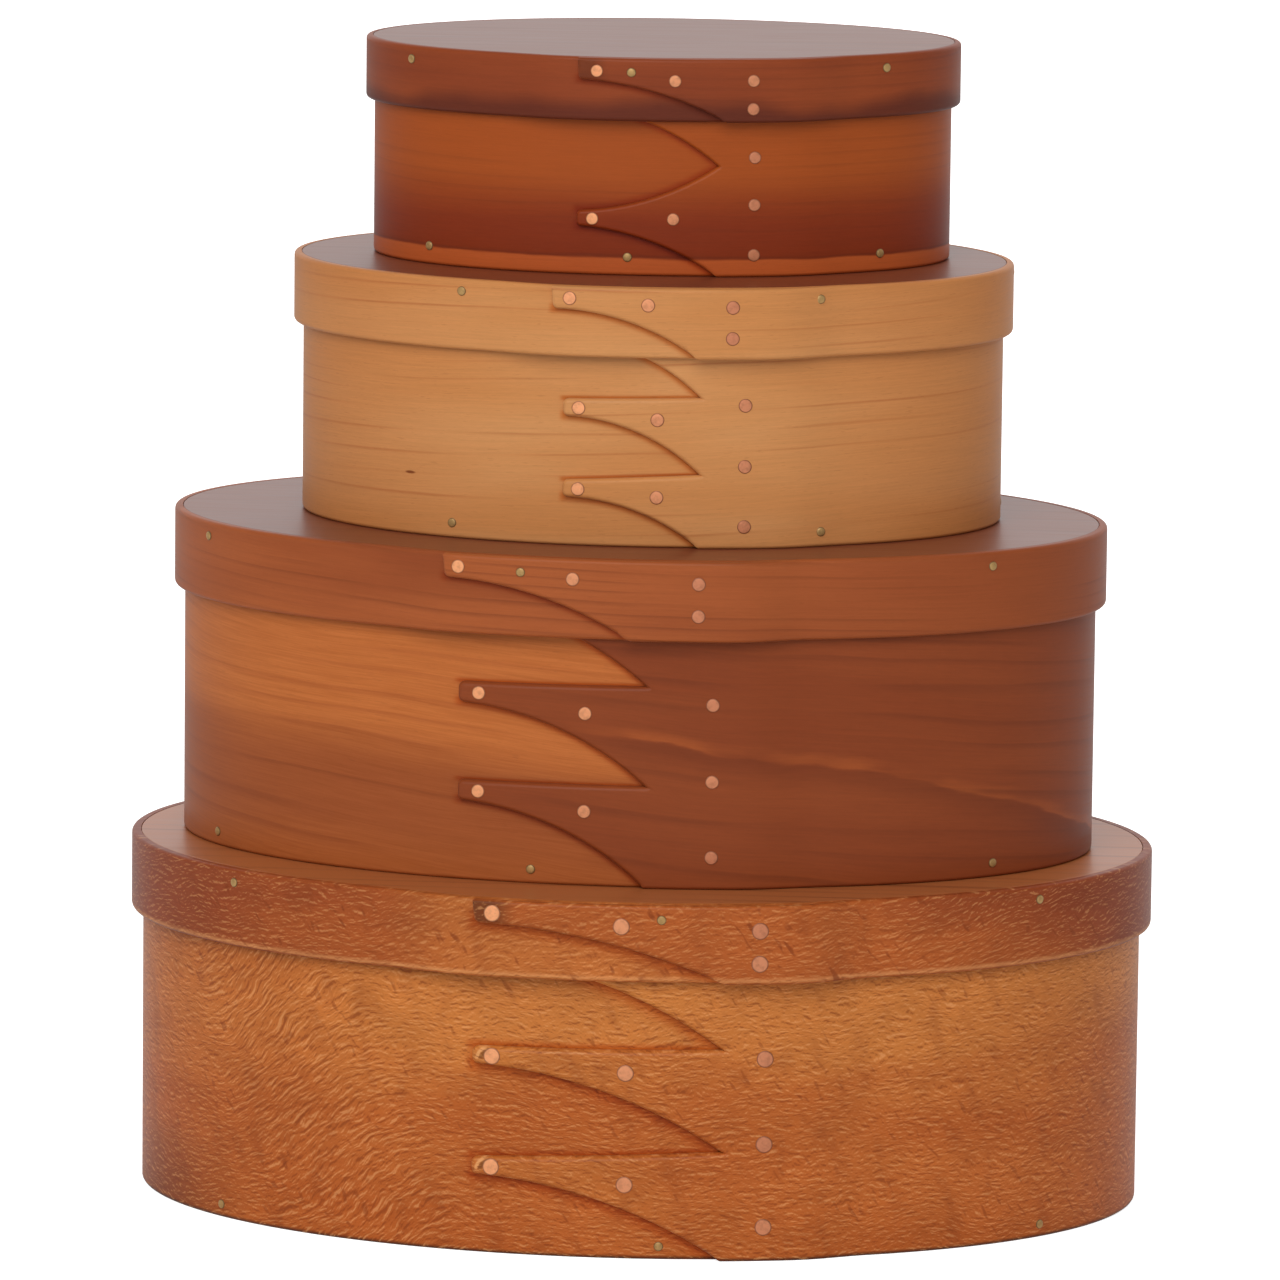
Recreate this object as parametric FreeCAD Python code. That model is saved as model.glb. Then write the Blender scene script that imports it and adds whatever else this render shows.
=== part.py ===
import FreeCAD, Part

import math
import os
from dataclasses import dataclass

# A stack of four lidded Shaker oval boxes, largest at the bottom.
# Each box is a thin steam-bent side band, lapped on itself in swallowtail fingers and closed
# with clinched copper tacks, around an oval base board held by brass pins.  Its lid is a
# shallow band of the same make around an oval lid board, and drops over the side band.
# Millimetres.  +Z is up, +X runs along the bottom box, -Y is the front, where the laps are.
# The origin is the centre of the bottom box's underside.

Vector = FreeCAD.Vector
UP = Vector(0, 0, 1)

# Shared sizes
LID_CLEARANCE = 0.6  # running gap between a lid band and the side band inside it
BOARD_CLEARANCE = 0.08  # gap round a board inside its band
GLUE_LINE = 0.1  # gap between the two layers of a lap
FEATHER_EDGE = 0.25  # thickness that the inner end of a band is pared down to
FEATHER_LENGTH = 18.0  # length over which that inner end is pared
LAP_MARGIN = 7.0  # full-thickness wood past the column of tacks
FORM_RUNOUT = 20.0  # length over which a lid band eases off the lap inside it
SHANK_CLEARANCE = 0.04  # gap round a driven shank
TACK_HEAD_SUNK = 0.15  # depth that a tack's head is hammered into the wood
TACK_HEAD_PROUD = 0.25  # height that it still stands above the wood
TACK_HEAD_EDGE = 0.12  # bevel round the head
CLINCH_DEPTH = 0.35  # thickness of the tack's point, flattened into the inner face
CLINCH_GROWTH = 1.6  # clinched point over shank, as a ratio of radii
PIN_RADIUS = 0.55
PIN_HEAD_RADIUS = 1.15
PIN_HEAD_SUNK = 0.15
PIN_HEAD_PROUD = 0.4
PIN_HEAD_EDGE = 0.3
PIN_BITE = 8.0  # length of a pin in the board's edge
CURVE_STEP = math.radians(2.0)  # spacing of a curve's points round the oval
FEWEST_SPANS = 4  # of a curve
TOLERANCE = 1e-6
CUT_MARGIN = 1.0  # how far a cutting tool runs past the wood


@dataclass
class Box:
    """The driving sizes of one box.  Its x stations are along the front, right of the middle.
    Heights on the side band are above its lower edge, or below its top edge if negative."""

    name: str
    length: float  # over the side band, away from the lap
    width: float
    height: float  # closed
    lid_height: float  # of the lid band
    wood: float  # thickness of both bands
    base_board: float  # board thicknesses
    lid_board: float
    finger_tip: float  # x of the fingers' tips
    finger_root: float  # x where the cuts between the fingers end
    tip_width: float
    tip_heights: tuple  # middle of each finger's tip
    root_heights: tuple  # where the cut above each finger ends
    finger_sag: float  # share of a curve's fall at half its length
    arched_tops: bool  # fingers curved above as well as below
    tack_head: float  # radius
    tack_shank: float  # radius
    tack_column: float  # x of the upright row of tacks
    tack_heights: tuple  # heights in that row
    tip_tack: float  # setback of the first tack from the finger's tip
    root_tack: float  # x of the second tack of each finger
    root_tack_heights: tuple
    pin_height: float  # of the base pins
    pin_angles: tuple  # form angles of half the base pins, in degrees
    lid_tip: float  # x of the lid finger's tip
    lid_root: float
    lid_tip_width: float
    lid_column: float
    lid_column_depths: tuple  # tack depths below the lid's top
    lid_tip_tack: tuple  # setback from the tip and depth below the top
    lid_root_tack: tuple  # x and depth below the top
    lid_pin_depth: float
    lid_pin_angles: tuple
    shift_x: float  # how the box sits on the stack
    shift_y: float
    turn: float  # degrees


BOXES = [  # from the bottom of the stack up
    Box(
        name="box4", length=253.0, width=179.0, height=90.0, lid_height=19.6, wood=2.3,
        base_board=7.0, lid_board=6.5,
        finger_tip=-33.0, finger_root=28.5, tip_width=4.4,
        tip_heights=(22.3, 50.1, -6.2), root_heights=(27.4, 53.0, -4.0),
        finger_sag=0.25, arched_tops=False,
        tack_head=2.1, tack_shank=0.75, tack_column=38.6, tack_heights=(8.7, 29.5, 50.9, -9.5),
        tip_tack=5.2, root_tack=5.0, root_tack_heights=(19.2, 47.2, -9.0),
        pin_height=3.4, pin_angles=(-51.8, 6.1, 56.3),
        lid_tip=-31.4, lid_root=28.8, lid_tip_width=5.8, lid_column=36.4,
        lid_column_depths=(6.1, 14.3), lid_tip_tack=(4.7, 3.1), lid_root_tack=(4.0, 5.2),
        lid_pin_depth=3.4, lid_pin_angles=(-48.0, 6.1, 53.9),
        shift_x=0.0, shift_y=0.0, turn=0.0,
    ),
    Box(
        name="box3", length=231.0, width=146.0, height=82.4, lid_height=20.0, wood=2.0,
        base_board=6.5, lid_board=6.0,
        finger_tip=-35.2, finger_root=11.6, tip_width=5.1,
        tip_heights=(22.8, 47.4, -4.2), root_heights=(25.5, 50.5, -1.2),
        finger_sag=0.25, arched_tops=False,
        tack_head=1.7, tack_shank=0.65, tack_column=27.8, tack_heights=(8.1, 27.0, 46.2, -8.4),
        tip_tack=5.4, root_tack=-3.3, root_tack_heights=(19.0, 43.5, -7.6),
        pin_height=3.6, pin_angles=(-61.5, -8.4, 55.1),
        lid_tip=-37.4, lid_root=8.0, lid_tip_width=5.9, lid_column=24.0,
        lid_column_depths=(5.4, 13.4), lid_tip_tack=(3.7, 3.0), lid_root_tack=(-5.9, 4.8),
        lid_pin_depth=3.6, lid_pin_angles=(-62.0, -9.2, 53.1),
        shift_x=-1.3, shift_y=0.8, turn=-2.2,
    ),
    Box(
        name="box2", length=176.5, width=118.0, height=65.2, lid_height=17.6, wood=1.8,
        base_board=6.5, lid_board=6.0,
        finger_tip=-16.6, finger_root=17.1, tip_width=4.3,
        tip_heights=(14.4, 34.6, -5.2), root_heights=(18.4, 37.6, -2.4),
        finger_sag=0.22, arched_tops=False,
        tack_head=1.7, tack_shank=0.65, tack_column=27.9, tack_heights=(5.6, 20.6, 35.8, -6.7),
        tip_tack=4.0, root_tack=6.7, root_tack_heights=(12.8, 32.1, -7.8),
        pin_height=3.8, pin_angles=(-30.6, 31.8, 97.0),
        lid_tip=-18.4, lid_root=16.4, lid_tip_width=5.6, lid_column=24.2,
        lid_column_depths=(4.5, 12.2), lid_tip_tack=(4.2, 2.8), lid_root_tack=(4.4, 4.1),
        lid_pin_depth=3.0, lid_pin_angles=(-28.3, 30.6, 97.0),
        shift_x=1.3, shift_y=2.9, turn=0.0,
    ),
    Box(
        name="box1", length=145.0, width=90.4, height=54.6, lid_height=15.8, wood=1.6,
        base_board=6.0, lid_board=5.5,
        finger_tip=-19.5, finger_root=15.3, tip_width=3.9,
        tip_heights=(14.2, -4.9), root_heights=(27.6, -1.2),
        finger_sag=0.27, arched_tops=True,
        tack_head=1.55, tack_shank=0.6, tack_column=24.0, tack_heights=(5.5, 18.0, 29.8, -7.3),
        tip_tack=4.0, root_tack=4.3, root_tack_heights=(14.4, -6.1),
        pin_height=4.6, pin_angles=(-51.8, -5.5, 49.8),
        lid_tip=-18.6, lid_root=16.9, lid_tip_width=5.4, lid_column=22.8,
        lid_column_depths=(5.3, 12.3), lid_tip_tack=(4.5, 3.2), lid_root_tack=(4.4, 5.4),
        lid_pin_depth=3.4, lid_pin_angles=(-56.3, -4.7, 49.5),
        shift_x=2.8, shift_y=7.5, turn=3.2,
    ),
]


def spline(points):
    curve = Part.BSplineCurve()
    curve.interpolate(points)
    return curve.toShape()


class Oval:
    """An ellipse drawn by its form angle: 0 is the front middle and 90 degrees the right end."""

    def __init__(self, length, width):
        self.width = width
        self.half_length = length / 2
        self.half_width = width / 2

    def angle_at(self, x):
        return math.asin(x / self.half_length)

    def outward(self, angle):
        across = math.sin(angle) / self.half_length
        along = -math.cos(angle) / self.half_width
        return Vector(across, along, 0).normalize()

    def point(self, angle, offset=0.0, height=0.0):
        on_oval = Vector(self.half_length * math.sin(angle), -self.half_width * math.cos(angle), height)
        return on_oval + self.outward(angle) * offset

    def curve(self, start, end, offset):
        """An edge from one form angle to another, offset outwards by a function of the angle."""
        count = max(FEWEST_SPANS, math.ceil(abs(end - start) / CURVE_STEP))
        angles = [start + (end - start) * i / count for i in range(count + 1)]
        return spline([self.point(a, offset(a)) for a in angles])

    def ring(self, offset):
        """A closed outline, offset outwards by a function of the angle."""
        count = math.ceil(2 * math.pi / CURVE_STEP)
        angles = [2 * math.pi * i / count for i in range(count)]
        outline = Part.BSplineCurve()
        outline.interpolate([self.point(a, offset(a)) for a in angles], PeriodicFlag=True)
        return Part.Wire(outline.toShape())


def ease(value, low, high):
    """0 up to low, 1 from high, and a smooth rise between them."""
    share = min(1.0, max(0.0, (value - low) / (high - low)))
    return (1 - math.cos(math.pi * share)) / 2


@dataclass
class Finger:
    """One finger of a lap, seen from the front: its tip and the ends of the cuts beside it."""

    tip_low: float
    tip_high: float
    root_low: float
    root_high: float


class LappedBand:
    """A strip of wood bent once round the oval.  Its inner end is feathered, and its outer end
    lies over that and is cut into fingers.  Offsets are from the oval, outwards."""

    def __init__(self, oval, form, wood, floor, top, tip, root, column, fingers, sag, arched):
        self.oval = oval
        self.form = form  # offset of the face inside the bend, by form angle
        self.wood = wood
        self.floor = floor
        self.top = top
        self.tip = tip
        self.root = root
        self.fingers = fingers
        self.sag = sag
        self.arched = arched
        self.tip_angle = oval.angle_at(tip)
        self.feather_start = oval.angle_at(column + LAP_MARGIN)
        self.feather_end = oval.angle_at(column + LAP_MARGIN + FEATHER_LENGTH)
        self.inner_end = self.angle_of_rise(FEATHER_EDGE / wood)

    def rise(self, angle):
        """1 where the inner layer has its full thickness, 0 past its feathered end."""
        return 1 - ease(angle, self.feather_start, self.feather_end)

    def angle_of_rise(self, rise):
        share = math.acos(1 - 2 * (1 - rise)) / math.pi
        return self.feather_start + share * (self.feather_end - self.feather_start)

    def inner_face(self, angle):
        return self.form(angle)

    def under_face(self, angle):
        """The inner layer's outer face."""
        return self.form(angle) + self.wood * self.rise(angle)

    def over_inner(self, angle):
        """The outer layer's inner face."""
        gap = GLUE_LINE * min(1.0, self.rise(angle) * self.wood / FEATHER_EDGE)
        return self.under_face(angle) + gap

    def over_outer(self, angle):
        return self.over_inner(angle) + self.wood

    def single_outer(self, angle):
        return self.form(angle) + self.wood

    def strip(self):
        """The bent strip before its fingers are cut."""
        turn = 2 * math.pi
        oval = self.oval
        outer_front = oval.curve(self.tip_angle, self.feather_end, self.over_outer)
        outer_round = oval.curve(self.feather_end, turn + self.tip_angle, self.single_outer)
        under = oval.curve(
            turn + self.tip_angle, turn + self.inner_end, lambda a: self.under_face(a - turn)
        )
        inner_round = oval.curve(turn + self.inner_end, self.feather_end, self.inner_face)
        inner_front = oval.curve(self.feather_end, self.tip_angle, self.over_inner)
        inner_cap = Part.makeLine(under.lastVertex().Point, inner_round.firstVertex().Point)
        outer_cap = Part.makeLine(inner_front.lastVertex().Point, outer_front.firstVertex().Point)
        edges = [outer_front, outer_round, under, inner_cap, inner_round, inner_front, outer_cap]
        face = Part.Face(Part.Wire(edges))
        face.translate(UP * self.floor)
        return face.extrude(UP * (self.top - self.floor))

    def arc(self, tip_height, root_height):
        """A finger's curved edge, from its tip to its root, in the front plane."""
        middle = Vector(
            (self.tip + self.root) / 2, 0, tip_height + (root_height - tip_height) * self.sag
        )
        ends = Vector(self.tip, 0, tip_height), Vector(self.root, 0, root_height)
        return Part.Arc(ends[0], middle, ends[1]).toShape()

    def notch_faces(self):
        """The cuts between the fingers, from the lowest up, as faces in the front plane."""
        left = self.tip - CUT_MARGIN
        faces = []
        for low, high in zip([None] + self.fingers, self.fingers + [None]):
            edges = []
            if low is None:
                below = self.floor - CUT_MARGIN
                start = Vector(self.root, 0, high.root_low)
                corners = [start, Vector(self.root, 0, below), Vector(left, 0, below)]
            else:
                start = Vector(self.root, 0, low.root_high)
                tip = Vector(self.tip, 0, low.tip_high)
                if high is None and low.root_high >= self.top:
                    continue
                if self.arched:
                    edges.append(self.arc(low.tip_high, low.root_high))
                else:
                    edges.append(Part.makeLine(start, tip))
                corners = [tip, Vector(left, 0, low.tip_high)]
            if high is None:
                above = self.top + CUT_MARGIN
                corners += [Vector(left, 0, above), Vector(self.root, 0, above), start]
            else:
                tip = Vector(self.tip, 0, high.tip_low)
                corners += [Vector(left, 0, high.tip_low), tip]
                edges.append(self.arc(high.tip_low, high.root_low))
            edges += [Part.makeLine(a, b) for a, b in zip(corners, corners[1:])]
            faces.append(Part.Face(Part.Wire(Part.__sortEdges__(edges))))
        return faces

    def outer_layer_zone(self):
        """The space that the outer layer fills at the lap, and past it on the outside."""
        start = self.tip_angle - CURVE_STEP
        end = self.feather_start
        inside = self.oval.curve(start, end, lambda a: self.under_face(a) + GLUE_LINE / 2)
        outside = self.oval.curve(end, start, lambda a: self.over_outer(a) + CUT_MARGIN)
        first = Part.makeLine(inside.lastVertex().Point, outside.firstVertex().Point)
        last = Part.makeLine(outside.lastVertex().Point, inside.firstVertex().Point)
        face = Part.Face(Part.Wire([inside, first, outside, last]))
        face.translate(UP * (self.floor - CUT_MARGIN))
        return face.extrude(UP * (self.top - self.floor + 2 * CUT_MARGIN))

    def outermost(self, angle, height):
        """The offset of the face that shows at a place on the band."""
        if not self.tip_angle <= angle <= self.feather_end:
            return self.single_outer(angle)
        place = Vector(self.oval.point(angle).x, 0, height)
        if any(face.isInside(place, TOLERANCE, True) for face in self.notch_faces()):
            return self.under_face(angle)
        return self.over_outer(angle)

    def solid(self, holes):
        reach = Vector(0, -self.oval.width, 0)
        prisms = [face.extrude(reach) for face in self.notch_faces()]
        zone = self.outer_layer_zone()
        cutters = [zone.common(prism) for prism in prisms]
        return self.strip().cut(cutters + holes)


@dataclass
class Driven:
    """Fasteners driven into a band at right angles to it, and the holes that they need."""

    pieces: list
    holes: list


def turned(profile, place, outward):
    """A profile of (radius, height) points, turned about Z and stood on a place."""
    points = []
    for radius, height in profile:
        point = Vector(radius, 0, height)
        if not points or not point.isEqual(points[-1], TOLERANCE):
            points.append(point)
    points.append(points[0])
    solid = Part.Face(Part.makePolygon(points)).revolve(Vector(), UP, 360)
    solid.Placement = FreeCAD.Placement(place, FreeCAD.Rotation(UP, outward))
    return solid


def head_profile(radius, proud, edge, seat):
    """A flat head with a bevelled edge, from its middle out and down to its seat."""
    return [(0, proud), (radius - edge, proud), (radius, proud - edge), (radius, seat)]


def tacks(band, stations, head, shank):
    """Copper tacks through both layers of a lap, clinched on the inside."""
    pieces, holes = [], []
    clinch = shank * CLINCH_GROWTH
    gap = SHANK_CLEARANCE
    seat = -TACK_HEAD_SUNK
    for x, height in stations:
        angle = band.oval.angle_at(x)
        outward = band.oval.outward(angle)
        face = band.over_outer(angle)
        place = band.oval.point(angle, face, height)
        inside = band.inner_face(angle) - face
        back = inside + CLINCH_DEPTH
        profile = head_profile(head, TACK_HEAD_PROUD, TACK_HEAD_EDGE, seat)
        profile += [(shank, seat), (shank, back), (clinch, back), (clinch, inside), (0, inside)]
        pieces.append(turned(profile, place, outward))
        bore = head_profile(head + gap, CUT_MARGIN, 0, seat)
        bore += [(shank + gap, seat), (shank + gap, back), (clinch + gap, back)]
        bore += [(clinch + gap, inside - CUT_MARGIN), (0, inside - CUT_MARGIN)]
        holes.append(turned(bore, place, outward))
    return Driven(pieces, holes)


def partner(angle):
    """Opposite a pin, or behind the left end for a pin that is behind the right one."""
    return math.tau - angle if angle > math.pi / 2 else angle + math.pi


def pins(band, half_angles, height):
    """Brass pins through a band into its board: half are given, and each has a partner."""
    pieces, holes = [], []
    gap = SHANK_CLEARANCE
    seat = -PIN_HEAD_SUNK
    angles = [math.radians(a) for a in half_angles]
    for angle in angles + [partner(a) for a in angles]:
        outward = band.oval.outward(angle)
        face = band.outermost(angle, height)
        place = band.oval.point(angle, face, height)
        point = band.inner_face(angle) - face - PIN_BITE
        profile = head_profile(PIN_HEAD_RADIUS, PIN_HEAD_PROUD, PIN_HEAD_EDGE, seat)
        profile += [(PIN_RADIUS, seat), (PIN_RADIUS, point + PIN_RADIUS), (0, point)]
        pieces.append(turned(profile, place, outward))
        bore = head_profile(PIN_HEAD_RADIUS + gap, CUT_MARGIN, 0, seat)
        bore += [(PIN_RADIUS + gap, seat), (PIN_RADIUS + gap, point - gap), (0, point - gap)]
        holes.append(turned(bore, place, outward))
    return Driven(pieces, holes)


def board(oval, outline, floor, thickness, holes):
    face = Part.Face(oval.ring(lambda a: outline(a) - BOARD_CLEARANCE))
    face.translate(UP * floor)
    return face.extrude(UP * thickness).cut(holes)


def box_parts(box):
    """The box's own four nodes."""
    oval = Oval(box.length, box.width)
    top = box.height - box.lid_board

    def on_band(heights):
        return [height if height > 0 else top + height for height in heights]

    half_tip = box.tip_width / 2
    tips = on_band(box.tip_heights)
    roots = on_band(box.root_heights)
    fingers = [
        Finger(tip - half_tip, tip + half_tip, root_low, root_high)
        for tip, root_low, root_high in zip(tips, [0.0] + roots, roots)
    ]
    band = LappedBand(
        oval=oval,
        form=lambda angle: -box.wood,
        wood=box.wood,
        floor=0.0,
        top=top,
        tip=box.finger_tip,
        root=box.finger_root,
        column=box.tack_column,
        fingers=fingers,
        sag=box.finger_sag,
        arched=box.arched_tops,
    )
    stations = [(box.tack_column, height) for height in on_band(box.tack_heights)]
    stations += [(box.finger_tip + box.tip_tack, height) for height in tips]
    stations += [(box.root_tack, height) for height in on_band(box.root_tack_heights)]
    tack_set = tacks(band, stations, box.tack_head, box.tack_shank)
    pin_set = pins(band, box.pin_angles, box.pin_height)
    return band, {
        "side_band": band.solid(tack_set.holes + pin_set.holes),
        "base_board": board(oval, band.inner_face, 0.0, box.base_board, pin_set.holes),
        "side_tacks": Part.makeCompound(tack_set.pieces),
        "base_pins": Part.makeCompound(pin_set.pieces),
    }


def lid_parts(box, side):
    """The lid's four nodes, made round the side band that it drops over."""
    oval = side.oval
    bulge = box.wood + GLUE_LINE
    runout = oval.angle_at(box.finger_tip - FORM_RUNOUT)

    def form(angle):
        wrapped = math.remainder(angle, 2 * math.pi)
        return LID_CLEARANCE + bulge * ease(wrapped, runout, side.tip_angle) * side.rise(wrapped)

    floor = box.height - box.lid_height
    band = LappedBand(
        oval=oval,
        form=form,
        wood=box.wood,
        floor=floor,
        top=box.height,
        tip=box.lid_tip,
        root=box.lid_root,
        column=box.lid_column,
        fingers=[Finger(box.height - box.lid_tip_width, box.height, floor, box.height)],
        sag=box.finger_sag,
        arched=False,
    )
    setback, depth = box.lid_tip_tack
    stations = [(box.lid_tip + setback, box.height - depth)]
    x, depth = box.lid_root_tack
    stations.append((x, box.height - depth))
    stations += [(box.lid_column, box.height - depth) for depth in box.lid_column_depths]
    tack_set = tacks(band, stations, box.tack_head, box.tack_shank)
    pin_set = pins(band, box.lid_pin_angles, box.height - box.lid_pin_depth)
    board_floor = box.height - box.lid_board
    return {
        "lid_band": band.solid(tack_set.holes + pin_set.holes),
        "lid_board": board(oval, form, board_floor, box.lid_board, pin_set.holes),
        "lid_tacks": Part.makeCompound(tack_set.pieces),
        "lid_pins": Part.makeCompound(pin_set.pieces),
    }


def main():
    os.makedirs("parts", exist_ok=True)
    stand = 0.0
    for box in BOXES:
        side, nodes = box_parts(box)
        nodes.update(lid_parts(box, side))
        place = FreeCAD.Placement(
            Vector(box.shift_x, box.shift_y, stand), FreeCAD.Rotation(UP, box.turn)
        )
        for name, shape in nodes.items():
            placed = shape.copy()
            placed.Placement = place.multiply(placed.Placement)
            placed.exportStep(f"parts/{box.name}_{name}.step")
        stand += box.height


main()
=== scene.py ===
"""A stack of four lidded Shaker oval boxes, dressed round its fixed construction frame.

Metres.  +Z is up, +X runs along the bottom box and -Y is the front, where the laps are.
Each band is modelled flat, as the maker cuts it, and is then bent round its oval.
"""

import math
import random
from contextlib import contextmanager
from dataclasses import dataclass, fields, replace

import bmesh
import bpy
from mathutils import Matrix, Vector


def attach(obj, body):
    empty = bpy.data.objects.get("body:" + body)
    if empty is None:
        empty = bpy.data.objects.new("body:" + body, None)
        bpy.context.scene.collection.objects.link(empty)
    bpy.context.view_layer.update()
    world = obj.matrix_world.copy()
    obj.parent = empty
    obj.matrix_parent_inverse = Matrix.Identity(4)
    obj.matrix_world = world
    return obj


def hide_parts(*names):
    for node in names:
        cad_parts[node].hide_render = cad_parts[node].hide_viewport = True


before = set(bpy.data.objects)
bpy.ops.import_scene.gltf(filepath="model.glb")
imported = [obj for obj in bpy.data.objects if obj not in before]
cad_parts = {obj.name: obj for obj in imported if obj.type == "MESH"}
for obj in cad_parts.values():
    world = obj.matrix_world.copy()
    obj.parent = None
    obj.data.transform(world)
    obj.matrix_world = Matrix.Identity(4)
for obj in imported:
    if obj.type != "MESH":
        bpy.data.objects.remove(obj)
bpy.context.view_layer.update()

bl_info = {
    "name": "Shaker oval boxes",
    "version": (1, 0, 0),
    "blender": (4, 5, 0),
    "location": "3D View > Sidebar > Oval boxes",
    "description": "Models a stack of four lapped oval boxes round its construction frame",
    "category": "Add Mesh",
}

MM = 0.001
TURN = 2 * math.pi

# Shared sizes of the construction
LID_CLEARANCE = 0.6 * MM  # running gap between a lid band and the side band inside it
BOARD_CLEARANCE = 0.08 * MM  # gap round a board inside its band
GLUE_LINE = 0.1 * MM  # gap between the two layers of a lap
FEATHER_EDGE = 0.25 * MM  # thickness that the inner end of a band is pared down to
FEATHER_LENGTH = 18.0 * MM  # length over which that inner end is pared
LAP_MARGIN = 7.0 * MM  # full-thickness wood past the column of tacks
FORM_RUNOUT = 20.0 * MM  # length over which a lid band eases off the lap inside it
HEAD_SUNK = 0.15 * MM  # depth that a driven head is hammered into the wood
TACK_PROUD = 0.25 * MM  # height that a tack's head stands above the wood
PIN_PROUD = 0.4 * MM
PIN_HEAD = 1.15 * MM  # radius
PIN_SHANK = 0.55 * MM  # radius
PIN_REACH = 8.0 * MM  # length of a pin in the board's edge
CLINCH_GROWTH = 1.6  # clinched point over shank, as a ratio of radii
CLINCH_DEPTH = 0.35 * MM
CLINCH_PROUD = 0.08 * MM  # height that the clinched point stands off the inner face

# How finely shapes are divided
PATH_STEP = math.radians(4)  # between the knots of a bending path
PATH_FINENESS = 8  # straight runs from knot to knot
STATION = 3.6 * MM  # between the crosswise cuts that let a strip bend
ROOT_MARGIN = 4.0 * MM  # evenly cut wood past the fingers' roots
ARC_POINTS = 24  # along a finger's curved edge
BOARD_POINTS = 180
ROUND_POINTS = 24  # round a tack or pin
MARGIN = 1.0 * MM  # how far a cutting tool runs past the wood
TINY = 0.005 * MM
SMOOTH_BELOW = math.radians(38)


@dataclass
class Box:
    """The driving sizes of one box.  Its x stations are along the front, right of the middle.
    Heights on the side band are above its lower edge, or below its top edge if negative."""

    name: str
    length: float  # over the side band, away from the lap
    width: float
    height: float  # closed
    lid_height: float  # of the lid band
    wood: float  # thickness of both bands
    base_board: float  # board thicknesses
    lid_board: float
    finger_tip: float  # x of the fingers' tips
    finger_root: float  # x where the cuts between the fingers end
    tip_width: float
    tip_heights: tuple  # middle of each finger's tip
    root_heights: tuple  # where the cut above each finger ends
    finger_sag: float  # share of a curve's fall at half its length
    arched_tops: bool  # fingers curved above as well as below
    tack_head: float  # radius
    tack_shank: float  # radius
    tack_column: float  # x of the upright row of tacks
    tack_heights: tuple  # heights in that row
    tip_tack: float  # setback of the first tack from the finger's tip
    root_tack: float  # x of the second tack of each finger
    root_tack_heights: tuple
    pin_height: float  # of the base pins
    pin_angles: tuple  # form angles of half the base pins, in degrees
    lid_tip: float  # x of the lid finger's tip
    lid_root: float
    lid_tip_width: float
    lid_column: float
    lid_column_depths: tuple  # tack depths below the lid's top
    lid_tip_tack: tuple  # setback from the tip and depth below the top
    lid_root_tack: tuple  # x and depth below the top
    lid_pin_depth: float
    lid_pin_angles: tuple
    shift_x: float  # how the box sits on the stack
    shift_y: float
    turn: float  # degrees


NOT_LENGTHS = {"name", "finger_sag", "arched_tops", "pin_angles", "lid_pin_angles", "turn"}

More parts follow.
